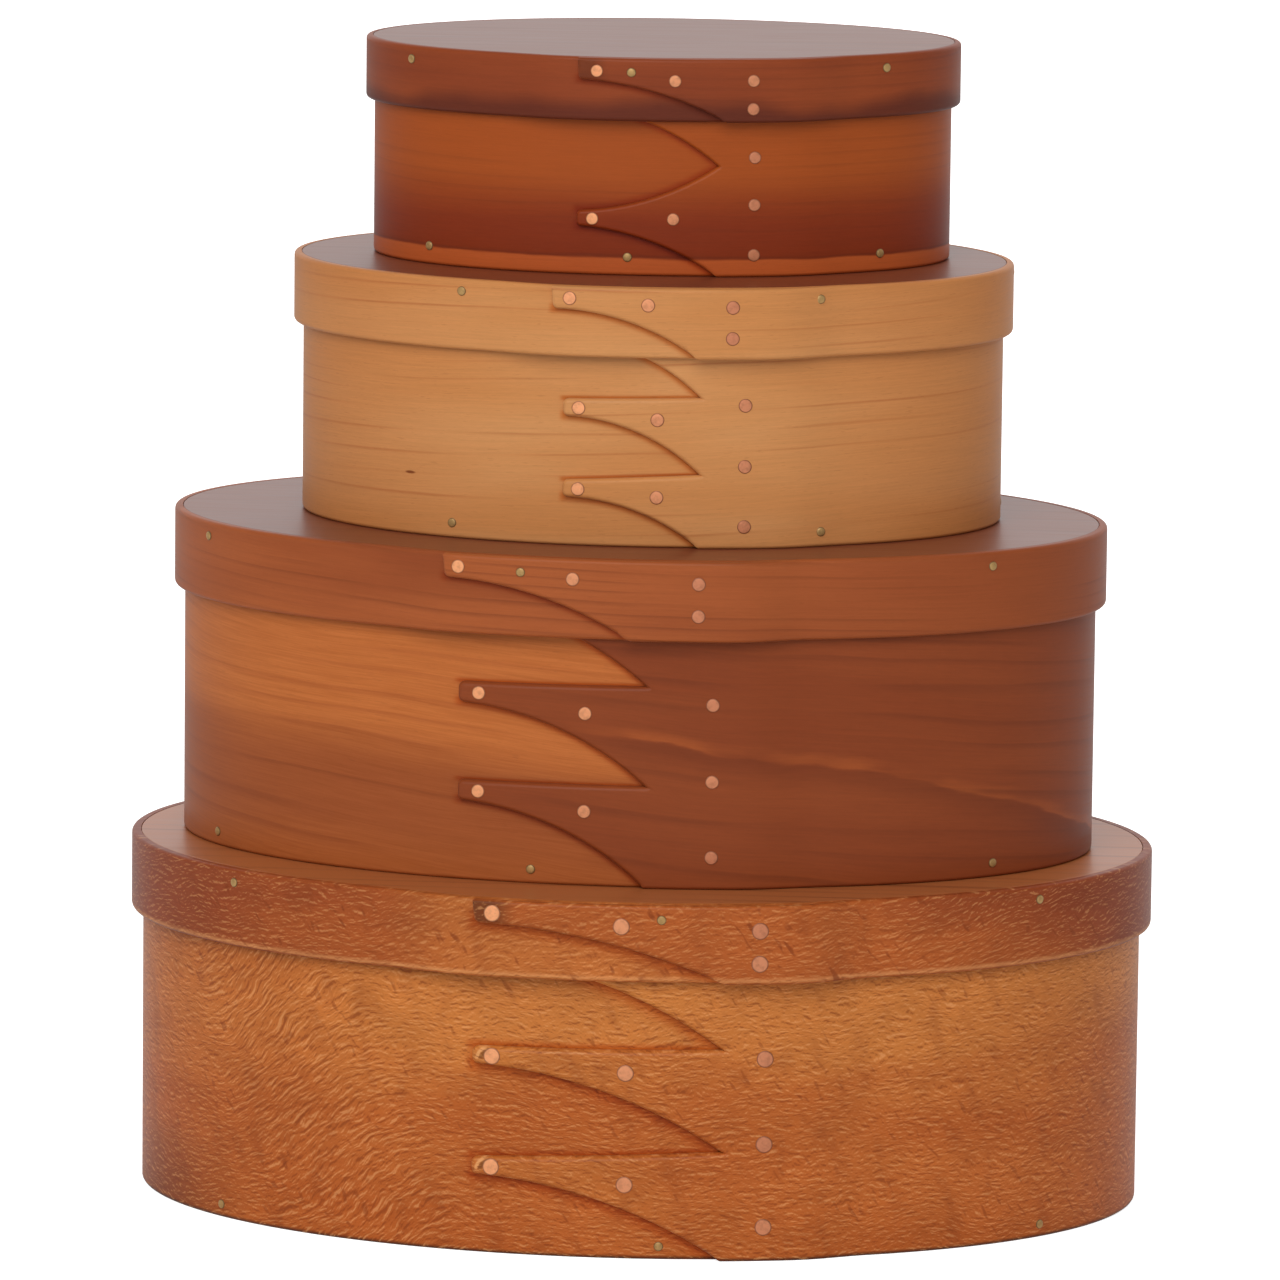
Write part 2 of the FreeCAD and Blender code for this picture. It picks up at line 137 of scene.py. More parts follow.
MILLIMETRE_BOXES = [  # from the bottom of the stack up
    Box(
        name="box4", length=253.0, width=179.0, height=90.0, lid_height=19.6, wood=2.3,
        base_board=7.0, lid_board=6.5,
        finger_tip=-33.0, finger_root=28.5, tip_width=4.4,
        tip_heights=(22.3, 50.1, -6.2), root_heights=(27.4, 53.0, -4.0),
        finger_sag=0.25, arched_tops=False,
        tack_head=2.1, tack_shank=0.75, tack_column=38.6, tack_heights=(8.7, 29.5, 50.9, -9.5),
        tip_tack=5.2, root_tack=5.0, root_tack_heights=(19.2, 47.2, -9.0),
        pin_height=3.4, pin_angles=(-51.8, 6.1, 56.3),
        lid_tip=-31.4, lid_root=28.8, lid_tip_width=5.8, lid_column=36.4,
        lid_column_depths=(6.1, 14.3), lid_tip_tack=(4.7, 3.1), lid_root_tack=(4.0, 5.2),
        lid_pin_depth=3.4, lid_pin_angles=(-48.0, 6.1, 53.9),
        shift_x=0.0, shift_y=0.0, turn=0.0,
    ),
    Box(
        name="box3", length=231.0, width=146.0, height=82.4, lid_height=20.0, wood=2.0,
        base_board=6.5, lid_board=6.0,
        finger_tip=-35.2, finger_root=11.6, tip_width=5.1,
        tip_heights=(22.8, 47.4, -4.2), root_heights=(25.5, 50.5, -1.2),
        finger_sag=0.25, arched_tops=False,
        tack_head=1.7, tack_shank=0.65, tack_column=27.8, tack_heights=(8.1, 27.0, 46.2, -8.4),
        tip_tack=5.4, root_tack=-3.3, root_tack_heights=(19.0, 43.5, -7.6),
        pin_height=3.6, pin_angles=(-61.5, -8.4, 55.1),
        lid_tip=-37.4, lid_root=8.0, lid_tip_width=5.9, lid_column=24.0,
        lid_column_depths=(5.4, 13.4), lid_tip_tack=(3.7, 3.0), lid_root_tack=(-5.9, 4.8),
        lid_pin_depth=3.6, lid_pin_angles=(-62.0, -9.2, 53.1),
        shift_x=-1.3, shift_y=0.8, turn=-2.2,
    ),
    Box(
        name="box2", length=176.5, width=118.0, height=65.2, lid_height=17.6, wood=1.8,
        base_board=6.5, lid_board=6.0,
        finger_tip=-16.6, finger_root=17.1, tip_width=4.3,
        tip_heights=(14.4, 34.6, -5.2), root_heights=(18.4, 37.6, -2.4),
        finger_sag=0.22, arched_tops=False,
        tack_head=1.7, tack_shank=0.65, tack_column=27.9, tack_heights=(5.6, 20.6, 35.8, -6.7),
        tip_tack=4.0, root_tack=6.7, root_tack_heights=(12.8, 32.1, -7.8),
        pin_height=3.8, pin_angles=(-30.6, 31.8, 97.0),
        lid_tip=-18.4, lid_root=16.4, lid_tip_width=5.6, lid_column=24.2,
        lid_column_depths=(4.5, 12.2), lid_tip_tack=(4.2, 2.8), lid_root_tack=(4.4, 4.1),
        lid_pin_depth=3.0, lid_pin_angles=(-28.3, 30.6, 97.0),
        shift_x=1.3, shift_y=2.9, turn=0.0,
    ),
    Box(
        name="box1", length=145.0, width=90.4, height=54.6, lid_height=15.8, wood=1.6,
        base_board=6.0, lid_board=5.5,
        finger_tip=-19.5, finger_root=15.3, tip_width=3.9,
        tip_heights=(14.2, -4.9), root_heights=(27.6, -1.2),
        finger_sag=0.27, arched_tops=True,
        tack_head=1.55, tack_shank=0.6, tack_column=24.0, tack_heights=(5.5, 18.0, 29.8, -7.3),
        tip_tack=4.0, root_tack=4.3, root_tack_heights=(14.4, -6.1),
        pin_height=4.6, pin_angles=(-51.8, -5.5, 49.8),
        lid_tip=-18.6, lid_root=16.9, lid_tip_width=5.4, lid_column=22.8,
        lid_column_depths=(5.3, 12.3), lid_tip_tack=(4.5, 3.2), lid_root_tack=(4.4, 5.4),
        lid_pin_depth=3.4, lid_pin_angles=(-56.3, -4.7, 49.5),
        shift_x=2.8, shift_y=7.5, turn=3.2,
    ),
]


def in_metres(box):
    """The same box with its millimetres turned to metres."""

    def scaled(value):
        return tuple(v * MM for v in value) if isinstance(value, tuple) else value * MM

    lengths = [f.name for f in fields(box) if f.name not in NOT_LENGTHS]
    return replace(box, **{name: scaled(getattr(box, name)) for name in lengths})


BOXES = [in_metres(box) for box in MILLIMETRE_BOXES]


def tint(red, green, blue):
    """A scene colour from the 0 to 255 levels of a paint chart."""

    def level(value):
        share = value / 255
        return share / 12.92 if share <= 0.04045 else ((share + 0.055) / 1.055) ** 2.4

    return level(red), level(green), level(blue)


# ---------------------------------------------------------------- sizes and colours


def length(name, description, default):
    return bpy.props.FloatProperty(
        name=name, description=description, default=default, min=0.0, precision=5, unit="LENGTH"
    )


def ratio(name, description, default):
    return bpy.props.FloatProperty(
        name=name, description=description, default=default, min=0.0, subtype="FACTOR"
    )


def colour(name, description, default):
    return bpy.props.FloatVectorProperty(
        name=name, description=description, default=default, size=3, min=0.0, max=1.0,
        subtype="COLOR",
    )


class BoxSizes(bpy.types.PropertyGroup):
    """How far the edges of the wood are worked."""

    finger_bevel: ratio("Finger bevel", "Bevel of a finger's edges, over the thickness", 0.62)
    tip_round: ratio("Tip rounding", "Radius of a tip's corners, over that bevel", 1.15)
    side_foot: length("Side foot", "Rounding of a side band's lower edge", 1.0 * MM)
    side_top: length("Side top", "Rounding of a side band's upper edge", 0.3 * MM)
    lid_foot: length("Lid foot", "Rounding of a lid band's lower edge", 1.1 * MM)
    lid_top: length("Lid top", "Rounding of a lid's upper edge", 0.9 * MM)
    board_edge: length("Board edge", "Easing of a board's edges", 0.3 * MM)


class BoxColours(bpy.types.PropertyGroup):
    """Colours of the woods and metals, each at its plainest."""

    figured: colour("Figured", "Ground of the bottom box", tint(172, 86, 34))
    figured_warm: colour("Warm figured", "Its redder ground", tint(184, 98, 42))
    figured_gold: colour("Golden figured", "Its ground towards the top", tint(206, 130, 62))
    figured_rim: colour("Figured rim", "Ground of the bottom box's lid", tint(172, 88, 38))
    figured_rim_dark: colour("Dark figured rim", "Its darker parts", tint(136, 60, 28))
    # also the painted highlight above each stroke and along the lid's lower lip
    figured_stroke: colour("Figured stroke", "Pale strokes in its figure", tint(228, 162, 102))
    # also the painted shade below each stroke of the figure
    figured_gap: colour("Figured gap", "Dark gaps in its figure", tint(126, 54, 20))
    # also the painted contact shadow along the bottom box's foot
    grime: colour("Grime", "Dirt, and painted contact shade along its foot", tint(52, 30, 18))
    chip: colour("Chip", "Worn hollow beside a finger's end", tint(104, 66, 34))
    # partly pooled varnish, partly painted shade beside the fingers' edges
    pooled: colour("Pooled varnish and edge shade", "What it leaves of the wood's colour", tint(236, 196, 150))
    pore: colour("Pore", "Short fine pores in plain woods", tint(110, 58, 30))
    heart: colour("Heartwood", "Side of the third box", tint(131, 61, 30))
    heart_warm: colour("Warm heartwood", "Its lighter parts", tint(140, 68, 34))
    heart_line: colour("Growth line", "Dark lines in cherry", tint(92, 40, 22))
    sap: colour("Sapwood", "Light part of the third box", tint(182, 100, 46))
    sap_pale: colour("Pale sapwood", "Its lightest fibres", tint(194, 114, 60))
    sap_line: colour("Sapwood line", "Growth lines in sapwood", tint(154, 76, 34))
    streak_glow: colour("Streak glow", "Lighter wood over the dark streak", tint(172, 88, 42))
    rim_cherry: colour("Rim cherry", "Lid of the third box", tint(165, 87, 45))
    maple_light: colour("Maple", "Ground of the second box", tint(204, 144, 90))
    maple_warm: colour("Warm maple", "Its darker parts", tint(196, 130, 74))
    maple_aside: colour("Maple aside", "Its ground away from the front", tint(188, 116, 62))
    maple_line: colour("Maple line", "Its growth lines", tint(168, 92, 48))
    fleck: colour("Fleck", "A dark fleck in the maple", tint(128, 66, 30))
    upper_cherry: colour("Upper cherry", "Upper side of the top box", tint(160, 75, 27))
    lower_cherry: colour("Lower cherry", "Lower side of the top box", tint(129, 47, 17))
    foot_cherry: colour("Foot cherry", "Strip along its foot", tint(182, 86, 39))
    rim_warm: colour("Warm rim", "Lid of the top box", tint(148, 70, 34))
    rim_dark: colour("Dark rim", "Its darker parts", tint(130, 58, 30))
    rim_streak: colour("Rim streak", "Purple-brown streak of that lid", tint(88, 38, 26))
    light_board: colour("Light board", "Boards of the bottom box", tint(172, 100, 54))
    dark_board: colour("Dark board", "Boards of the other boxes", tint(122, 62, 38))
    copper_bright: colour("Bright copper", "Rubbed tack heads", tint(255, 176, 122))
    copper_dull: colour("Dull copper", "Tack heads left as driven", tint(204, 128, 92))
    # partly oxide, partly painted shade round a tack head
    copper_rim: colour("Copper rim", "Rim of a tack head", tint(118, 66, 40))
    brass_bright: colour("Brass", "Pin heads", tint(186, 148, 92))
    # partly oxide, partly painted shade round a pin head
    brass_rim: colour("Brass rim", "Rim of a pin head", tint(74, 56, 30))


# ---------------------------------------------------------------- shader arithmetic


class Value:
    """A shader socket that takes part in arithmetic."""

    def __init__(self, nodes, socket):
        self.nodes = nodes
        self.socket = socket

    def __add__(self, other):
        return self.nodes.math("ADD", self, other)

    def __sub__(self, other):
        return self.nodes.math("SUBTRACT", self, other)

    def __rsub__(self, other):
        return self.nodes.math("SUBTRACT", other, self)

    def __mul__(self, other):
        return self.nodes.math("MULTIPLY", self, other)

    __radd__ = __add__
    __rmul__ = __mul__


class Nodes:
    """A node tree, filled by adding nodes whose inputs are numbers, colours or Values."""

    def __init__(self, tree):
        self.tree = tree

    def add(self, kind, settings=None, sockets=None, output=0):
        node = self.tree.nodes.new(kind)
        for name, setting in (settings or {}).items():
            setattr(node, name, setting)
        for name, value in (sockets or {}).items():
            self.feed(node.inputs[name], value)
        return Value(self, node.outputs[output]) if node.outputs else node

    def feed(self, socket, value):
        if isinstance(value, Value):
            self.tree.links.new(value.socket, socket)
        elif socket.type == "RGBA":
            socket.default_value = (*value, 1.0)
        else:
            socket.default_value = value

    def math(self, operation, *values):
        return self.add("ShaderNodeMath", {"operation": operation}, dict(enumerate(values)))

    def stretched(self, place, scale, shift=(0.0, 0.0, 0.0)):
        """A place seen at another scale along each axis, past a shift."""
        moved = self.add("ShaderNodeVectorMath", {"operation": "ADD"}, {0: place, 1: shift})
        return self.add("ShaderNodeVectorMath", {"operation": "MULTIPLY"}, {0: moved, 1: scale})

    def noise(self, place, detail=2.0, roughness=0.5, output="Fac"):
        sockets = {"Vector": place, "Scale": 1.0, "Detail": detail, "Roughness": roughness}
        return self.add("ShaderNodeTexNoise", {}, sockets, output)

    def smooth(self, value, low, high):
        """0 up to low, 1 from high, and a smooth rise between them."""
        settings = {"interpolation_type": "SMOOTHSTEP"}
        sockets = {"Value": value, "From Min": low, "From Max": high}
        return self.add("ShaderNodeMapRange", settings, sockets, "Result")

    def within(self, value, low, full, still, gone):
        """0 up to low, 1 from full to still, and 0 again from gone."""
        return self.smooth(value, low, full) * (1 - self.smooth(value, still, gone))

    def blend(self, share, first, second, way="MIX"):
        settings = {"data_type": "RGBA", "blend_type": way, "clamp_factor": True}
        return self.add("ShaderNodeMix", settings, {0: share, 6: first, 7: second}, 2)

    def split(self, place):
        node = self.add("ShaderNodeSeparateXYZ", {}, {0: place}).socket.node
        return [Value(self, socket) for socket in node.outputs]

    def join(self, x, y, z):
        return self.add("ShaderNodeCombineXYZ", {}, {0: x, 1: y, 2: z})

    def stored(self, name, output):
        return self.add("ShaderNodeAttribute", {"attribute_name": name}, {}, output)


def scene_sizes():
    return bpy.context.scene.oval_box_sizes


def scene_colours():
    return bpy.context.scene.oval_box_colours


class Finish(Nodes):
    """A surface material and the shader that it drives."""

    def __init__(self, name, **plain):
        self.material = bpy.data.materials.new(name)
        self.material.use_nodes = True
        super().__init__(self.material.node_tree)
        self.shader = self.tree.nodes["Principled BSDF"]
        for socket, value in plain.items():
            self.shader.inputs[socket.replace("_", " ")].default_value = value

    def surface(self, tone, roughness, relief, depth):
        """Lays on the colour, the roughness and a relief of a given depth in metres."""
        self.feed(self.shader.inputs["Base Color"], tone)
        self.feed(self.shader.inputs["Roughness"], roughness)
        sockets = {"Height": relief, "Distance": depth, "Strength": 1.0}
        normal = self.add("ShaderNodeBump", {}, sockets)
        self.feed(self.shader.inputs["Normal"], normal)
        return self.material


@dataclass
class Plank:
    """A place in a plank of wood, with the figure that every wood here shares."""

    nodes: Finish
    along: Value  # from the strip's outer tip, along the grain
    depth: Value  # from the face inside the bend, negative outwards
    height: Value
    log: Value  # place in the log, whose grain wanders a little from the plank's
    bent: Value  # height in the log
    fibre: Value  # hair-fine lines along the grain, about a half on average
    cloud: Value  # slow changes of colour, about a half on average
    shift: tuple


def plank(name, seed, slope=0.0, wander=3.0 * MM):
    """Starts a wood finish.  The seed picks the part of the log, and slope tips its grain."""
    nodes = Finish(name, Specular_IOR_Level=0.14)
    flat = nodes.stored("flat", "Vector")
    along, depth, height = nodes.split(flat)
    shift = (seed * 1.37, seed * 0.71, seed * 0.29)
    drift = nodes.noise(nodes.stretched(flat, (9, 30, 20), shift), 2.0) - 0.5
    bent = height + along * slope + drift * (2 * wander)
    log = nodes.join(along, depth, bent)
    fibre = nodes.noise(nodes.stretched(log, (60, 700, 2400), shift), 2.0, 0.6)
    cloud = nodes.noise(nodes.stretched(log, (9, 30, 48), shift), 2.0)
    return Plank(nodes, along, depth, height, log, bent, fibre, cloud, shift)


def shade(nodes, tone, amount):
    """Darkens (amount below 1) or lightens a colour evenly."""
    grey = nodes.join(amount, amount, amount)
    return nodes.blend(1.0, tone, grey, "MULTIPLY")


def growth(wood, spacing, sharp=0.08, rare=0.0, begins=0.6):
    """Growth lines, each darkening slowly across the grain and then ending sharply."""
    nodes = wood.nodes
    uneven = nodes.noise(nodes.stretched(wood.log, (3, 20, 60), wood.shift), 1.0)
    part = nodes.math("FRACT", wood.bent * (1 / spacing) + uneven * 2.5)
    line = nodes.within(part, begins, 1 - sharp, 1 - sharp, 1.0)
    present = nodes.noise(nodes.stretched(wood.log, (14, 40, 90), wood.shift), 1.0)
    return line * nodes.smooth(present, 0.38 + rare, 0.62 + rare)


def outer_face(wood, band):
    """1 on the face outside the bend, fading out through the wood's thickness."""
    return 1 - wood.nodes.smooth(wood.depth, -band.wood, -band.wood * 0.6)


def pooled(wood, band, tone, reach=2.0 * MM):
    """Pooled varnish and painted shade along the fingers' edges on the inner layer, to a reach
    from them.
    """
    nodes = wood.nodes
    first = band.along_inner(band.tip)
    share = (wood.along - first) * (1 / (band.along_inner(band.root) - first))
    x = share * (band.root - band.tip) + band.tip
    place = nodes.join(x, 0, wood.height)
    nearest = 1.0
    for edge in band.finger_edges():
        apart = edge.distance(nodes, place) * (2.0 if edge.centre is None else 1.0)
        nearest = nodes.math("MINIMUM", nearest, apart)
    beside = nodes.within(share, -0.05, 0.0, 1.0, 1.03)
    # partly pooled varnish, partly painted shade in the step beside each proud finger
    gathered = (1 - nodes.smooth(nearest, 0.3 * MM, reach)) * beside * outer_face(wood, band)
    return nodes.blend(gathered, tone, scene_colours().pooled, "MULTIPLY")


def satin(wood, band, tone, gloss=0.4):
    """Finishes a wood with its fibres and a rubbed satin varnish."""
    nodes = wood.nodes
    pores = nodes.noise(nodes.stretched(wood.log, (320, 700, 2800), wood.shift), 2.0)
    tone = shade(nodes, tone, 0.8 + wood.fibre * 0.24 + pores * 0.16)
    tone = nodes.blend(nodes.smooth(pores, 0.6, 0.74) * 0.2, tone, scene_colours().pore)
    # pooled varnish and painted shade along the fingers' edges
    tone = pooled(wood, band, tone)
    return nodes.surface(tone, gloss + (wood.fibre - 0.5) * 0.12, wood.fibre, 0.012 * MM)


def spot(wood, along, height, size):
    """A small dark fleck in the grain."""
    nodes = wood.nodes
    across = (wood.along - along) * (1 / size[0])
    up = (wood.height - height) * (1 / size[1])
    apart = nodes.math("SQRT", across * across + up * up)
    return 1 - nodes.smooth(apart, 0.5, 1.1)


def from_front(wood, band):
    """Distance along the strip from the middle of the front, on either of its layers there."""
    nodes = wood.nodes
    from_outer = nodes.math("ABSOLUTE", wood.along - band.along_front(0.0))
    from_inner = nodes.math("ABSOLUTE", wood.along - band.along_inner(0.0))
    return nodes.math("MINIMUM", from_outer, from_inner)


def maple(name, seed, band, flecked=False):
    """Pale wood with thin pinkish growth lines."""
    colours = scene_colours()
    wood = plank(name, seed, slope=-0.03, wander=1.8 * MM)
    nodes = wood.nodes
    mottled = nodes.smooth(wood.cloud, 0.3, 0.7)
    tone = nodes.blend(mottled, colours.maple_light, colours.maple_warm)
    aside = nodes.smooth(from_front(wood, band), 25 * MM, 80 * MM)
    tone = nodes.blend(aside * 0.5, tone, colours.maple_aside)
    lines = growth(wood, 5 * MM, rare=0.04, begins=0.8)
    tone = nodes.blend(lines * 0.5, tone, colours.maple_line)
    if flecked:
        mark = spot(wood, band.along_inner(-56 * MM), 15.5 * MM, (1.7 * MM, 0.45 * MM))
        tone = nodes.blend(mark, tone, colours.fleck)
    return satin(wood, band, tone)


def flecked_maple(name, seed, band):
    return maple(name, seed, band, flecked=True)


def cherry(name, seed, band):
    """Warm cherry with thin dark growth lines that come and go."""
    colours = scene_colours()
    wood = plank(name, seed, slope=0.03, wander=2.5 * MM)
    nodes = wood.nodes
    tone = nodes.blend(nodes.smooth(wood.cloud, 0.2, 0.6), colours.heart_warm, colours.rim_cherry)
    thin = growth(wood, 3.2 * MM, sharp=0.05, rare=-0.04)
    aside = nodes.within(wood.along, 50 * MM, 150 * MM, 300 * MM, 450 * MM)
    tone = nodes.blend(aside * 0.75, tone, colours.heart_warm)
    tone = nodes.blend(thin * 0.3, tone, colours.heart_line)
    return satin(wood, band, tone)


def two_toned_cherry(name, seed, band):
    """Heartwood, with a band of sapwood where the strip comes round to the fingers."""
    colours = scene_colours()
    wood = plank(name, seed, slope=0.08, wander=4.0 * MM)
    nodes = wood.nodes
    lines = growth(wood, 6.5 * MM)
    tone = nodes.blend(nodes.smooth(wood.cloud, 0.3, 0.7), colours.heart, colours.heart_warm)
    streak_height = 37 * MM  # where it leaves the fingers' roots, to fall away to the right
    past = wood.along - band.along_front(band.root)
    wave = nodes.noise(nodes.stretched(nodes.join(wood.along, 0, 0), (22, 1, 1)), 2.0) - 0.5
    fall = past * 0.11 + past * past * 0.9
    rough = nodes.noise(nodes.stretched(wood.log, (130, 100, 500), wood.shift), 2.0) - 0.5
    above = wood.height - streak_height + fall + wave * (8 * MM) + rough * (1.6 * MM)
    shown = nodes.within(past, -25 * MM, 0, 130 * MM, 175 * MM)
    broken = nodes.noise(nodes.stretched(wood.log, (45, 60, 200), wood.shift), 1.0)
    glow = nodes.within(above, 0, 0.6 * MM, 0.7 * MM, 4 * MM)
    glow = glow * nodes.smooth(broken, 0.35, 0.6)
    tone = nodes.blend(glow * shown * 0.55, tone, colours.streak_glow)
    dark = nodes.within(above, -8 * MM, -0.6 * MM, -0.5 * MM, 0.3 * MM)
    tone = nodes.blend(dark * shown * 0.3, tone, colours.heart_line)
    tone = nodes.blend(lines * 0.27, tone, colours.heart_line)
    sap_start = band.along(TURN - math.radians(70))  # near the left end
    sap_height = 40 * MM - (wood.along - sap_start) * 0.12
    round_to = nodes.smooth(wood.along, sap_start - 60 * MM, sap_start)
    rise = wood.height - sap_height + (wood.cloud - 0.5) * (26 * MM)
    # paler near the foot: painted light set against the shade that falls there
    painted_foot_light = 1 - nodes.smooth(wood.height, 3 * MM, 16 * MM)
    sap = round_to * (0.3 + painted_foot_light * 0.22 + 0.7 * nodes.smooth(rise, -9 * MM, 9 * MM))
    pale = nodes.blend(nodes.smooth(wood.fibre, 0.2, 0.8) * 0.6, colours.sap, colours.sap_pale)
    pale = nodes.blend(lines * 0.4, pale, colours.sap_line)
    return satin(wood, band, nodes.blend(sap, tone, pale))


def streaked_cherry(name, seed, band):
    """Orange above and red-brown below, with a strip of lighter wood along its foot."""
    colours = scene_colours()
    wood = plank(name, seed, slope=0.0, wander=1.5 * MM)
    nodes = wood.nodes
    low = 1 - nodes.smooth(wood.height + (wood.cloud - 0.5) * (12 * MM), 11 * MM, 27 * MM)
    tone = nodes.blend(low, colours.upper_cherry, colours.lower_cherry)
    tone = nodes.blend(growth(wood, 3.2 * MM) * 0.16, tone, colours.heart_line)
    ragged = nodes.noise(nodes.stretched(wood.log, (60, 60, 300), wood.shift), 2.0) - 0.5
    level = wood.height + (wood.cloud - 0.5) * (3 * MM) + ragged * (1.2 * MM)
    strip_top = 4.6 * MM
    foot = 1 - nodes.smooth(level, strip_top - 0.8 * MM, strip_top)
    tone = nodes.blend(foot, tone, colours.foot_cherry)
    edge = 1 - nodes.smooth(nodes.math("ABSOLUTE", level - strip_top), 0.1 * MM, 0.6 * MM)
    tone = nodes.blend(edge * 0.35, tone, colours.heart_line)
    return satin(wood, band, tone)


def soiled_tip(wood, band, tone, reach, share):
    """Dirt gathered round the tack at the tip of a lid's finger."""
    nodes = wood.nodes
    past = wood.along - band.along_front(band.tip) + (wood.cloud - 0.5) * (4 * MM)
    near = 1 - nodes.smooth(past, reach * 0.4, reach)
    return nodes.blend(near * outer_face(wood, band) * share, tone, scene_colours().grime)


def streaked_rim(name, seed, band):
    """Red-brown, with a purple-brown streak that comes and goes along its lower edge."""
    colours = scene_colours()
    wood = plank(name, seed, slope=0.0, wander=2.0 * MM)
    nodes = wood.nodes
    tone = nodes.blend(nodes.smooth(wood.cloud, 0.3, 0.7), colours.rim_dark, colours.rim_warm)
    reach = nodes.noise(nodes.stretched(nodes.join(wood.along, 0, 0), (26, 1, 1)), 2.0) - 0.5
    level = wood.height - band.floor + reach * (12 * MM) + (wood.cloud - 0.5) * (6 * MM)
    low = 1 - nodes.smooth(level, 1.5 * MM, 7 * MM)
    tone = nodes.blend(low * 0.85, tone, colours.rim_streak)
    tone = nodes.blend(growth(wood, 3.0 * MM) * 0.2, tone, colours.rim_streak)
    tone = soiled_tip(wood, band, tone, 8 * MM, 0.38)
    return satin(wood, band, tone)


def figured(name, seed, band):
    """Rippled cherry, golden towards the top and combed upwards on the left of the front."""
    colours = scene_colours()
    wood = plank(name, seed, wander=2.0 * MM)
    nodes = wood.nodes
    gold = nodes.smooth(wood.height + (wood.cloud - 0.5) * (50 * MM), 28 * MM, 62 * MM)
    tone = nodes.blend(nodes.smooth(wood.cloud, 0.35, 0.7), colours.figured, colours.figured_warm)
    end = band.along(TURN - math.radians(68))  # near the left end
    from_end = nodes.math("ABSOLUTE", wood.along - end)
    gold = gold * (0.25 + 0.4 * nodes.smooth(from_end, 30 * MM, 100 * MM))
    root = band.along_front(band.root)
    gold = gold + (1 - nodes.smooth(wood.along, root - 35 * MM, root)) * 0.3
    tone = nodes.blend(gold, tone, colours.figured_gold)
    near_end = nodes.within(wood.along, end - 50 * MM, end, end, end + 40 * MM)
    soiled = near_end * (1 - nodes.smooth(wood.height, 3 * MM, 26 * MM)) * wood.cloud
    tone = nodes.blend(soiled * 1.1, tone, colours.figured_gap)
    tone = nodes.blend(soiled * 0.4, tone, colours.grime)
    # painted contact shadow along the foot, partly dirt as well
    foot = 1 - nodes.smooth(wood.height, 0.4 * MM, 1.4 * MM)
    tone = nodes.blend(foot * 0.8, tone, colours.grime)
    for finger in band.fingers:
        tone = chipped_tip(wood, band, tone, (finger.tip_low + finger.tip_high) / 2)
    left, right = band.along_inner(-98 * MM), band.along_inner(-44 * MM)
    leaning = wood.along + (wood.height - 30 * MM) * 0.5
    climb = nodes.smooth(leaning, left, right) * (26 * MM)
    combed = nodes.within(
        leaning, left - 10 * MM, left + 15 * MM, right - 10 * MM, right + 10 * MM
    )
    return rippled(wood, band, tone, climb, combed, 0.52, 0.5)


def figured_rim(name, seed, band):
    """The same cherry, darker round the sides and back, with a painted highlight on its lower
    edge.
    """
    colours = scene_colours()
    wood = plank(name, seed, wander=2.0 * MM)
    nodes = wood.nodes
    dark = nodes.smooth(from_front(wood, band) * 3.5 + wood.cloud, 0.55, 1.0)
    tone = nodes.blend(dark, colours.figured_rim, colours.figured_rim_dark)
    from_inner = nodes.math("ABSOLUTE", wood.along - band.along_inner(0.0))
    under = 1 - nodes.smooth(from_inner, 30 * MM, 60 * MM)
    tone = nodes.blend(under * 0.3, tone, colours.figured_gold)
    # painted highlight along the rounded lower lip of the lid, in the pale stroke colour
    worn = nodes.within(wood.height - band.floor, 0.2 * MM, 0.9 * MM, 1.0 * MM, 2.0 * MM)
    tone = nodes.blend(worn * 0.4, tone, colours.figured_stroke)
    tone = soiled_tip(wood, band, tone, 12 * MM, 0.62)
    return rippled(wood, band, tone, wood.along * 0.12, 0.0, 0.42, 0.7)


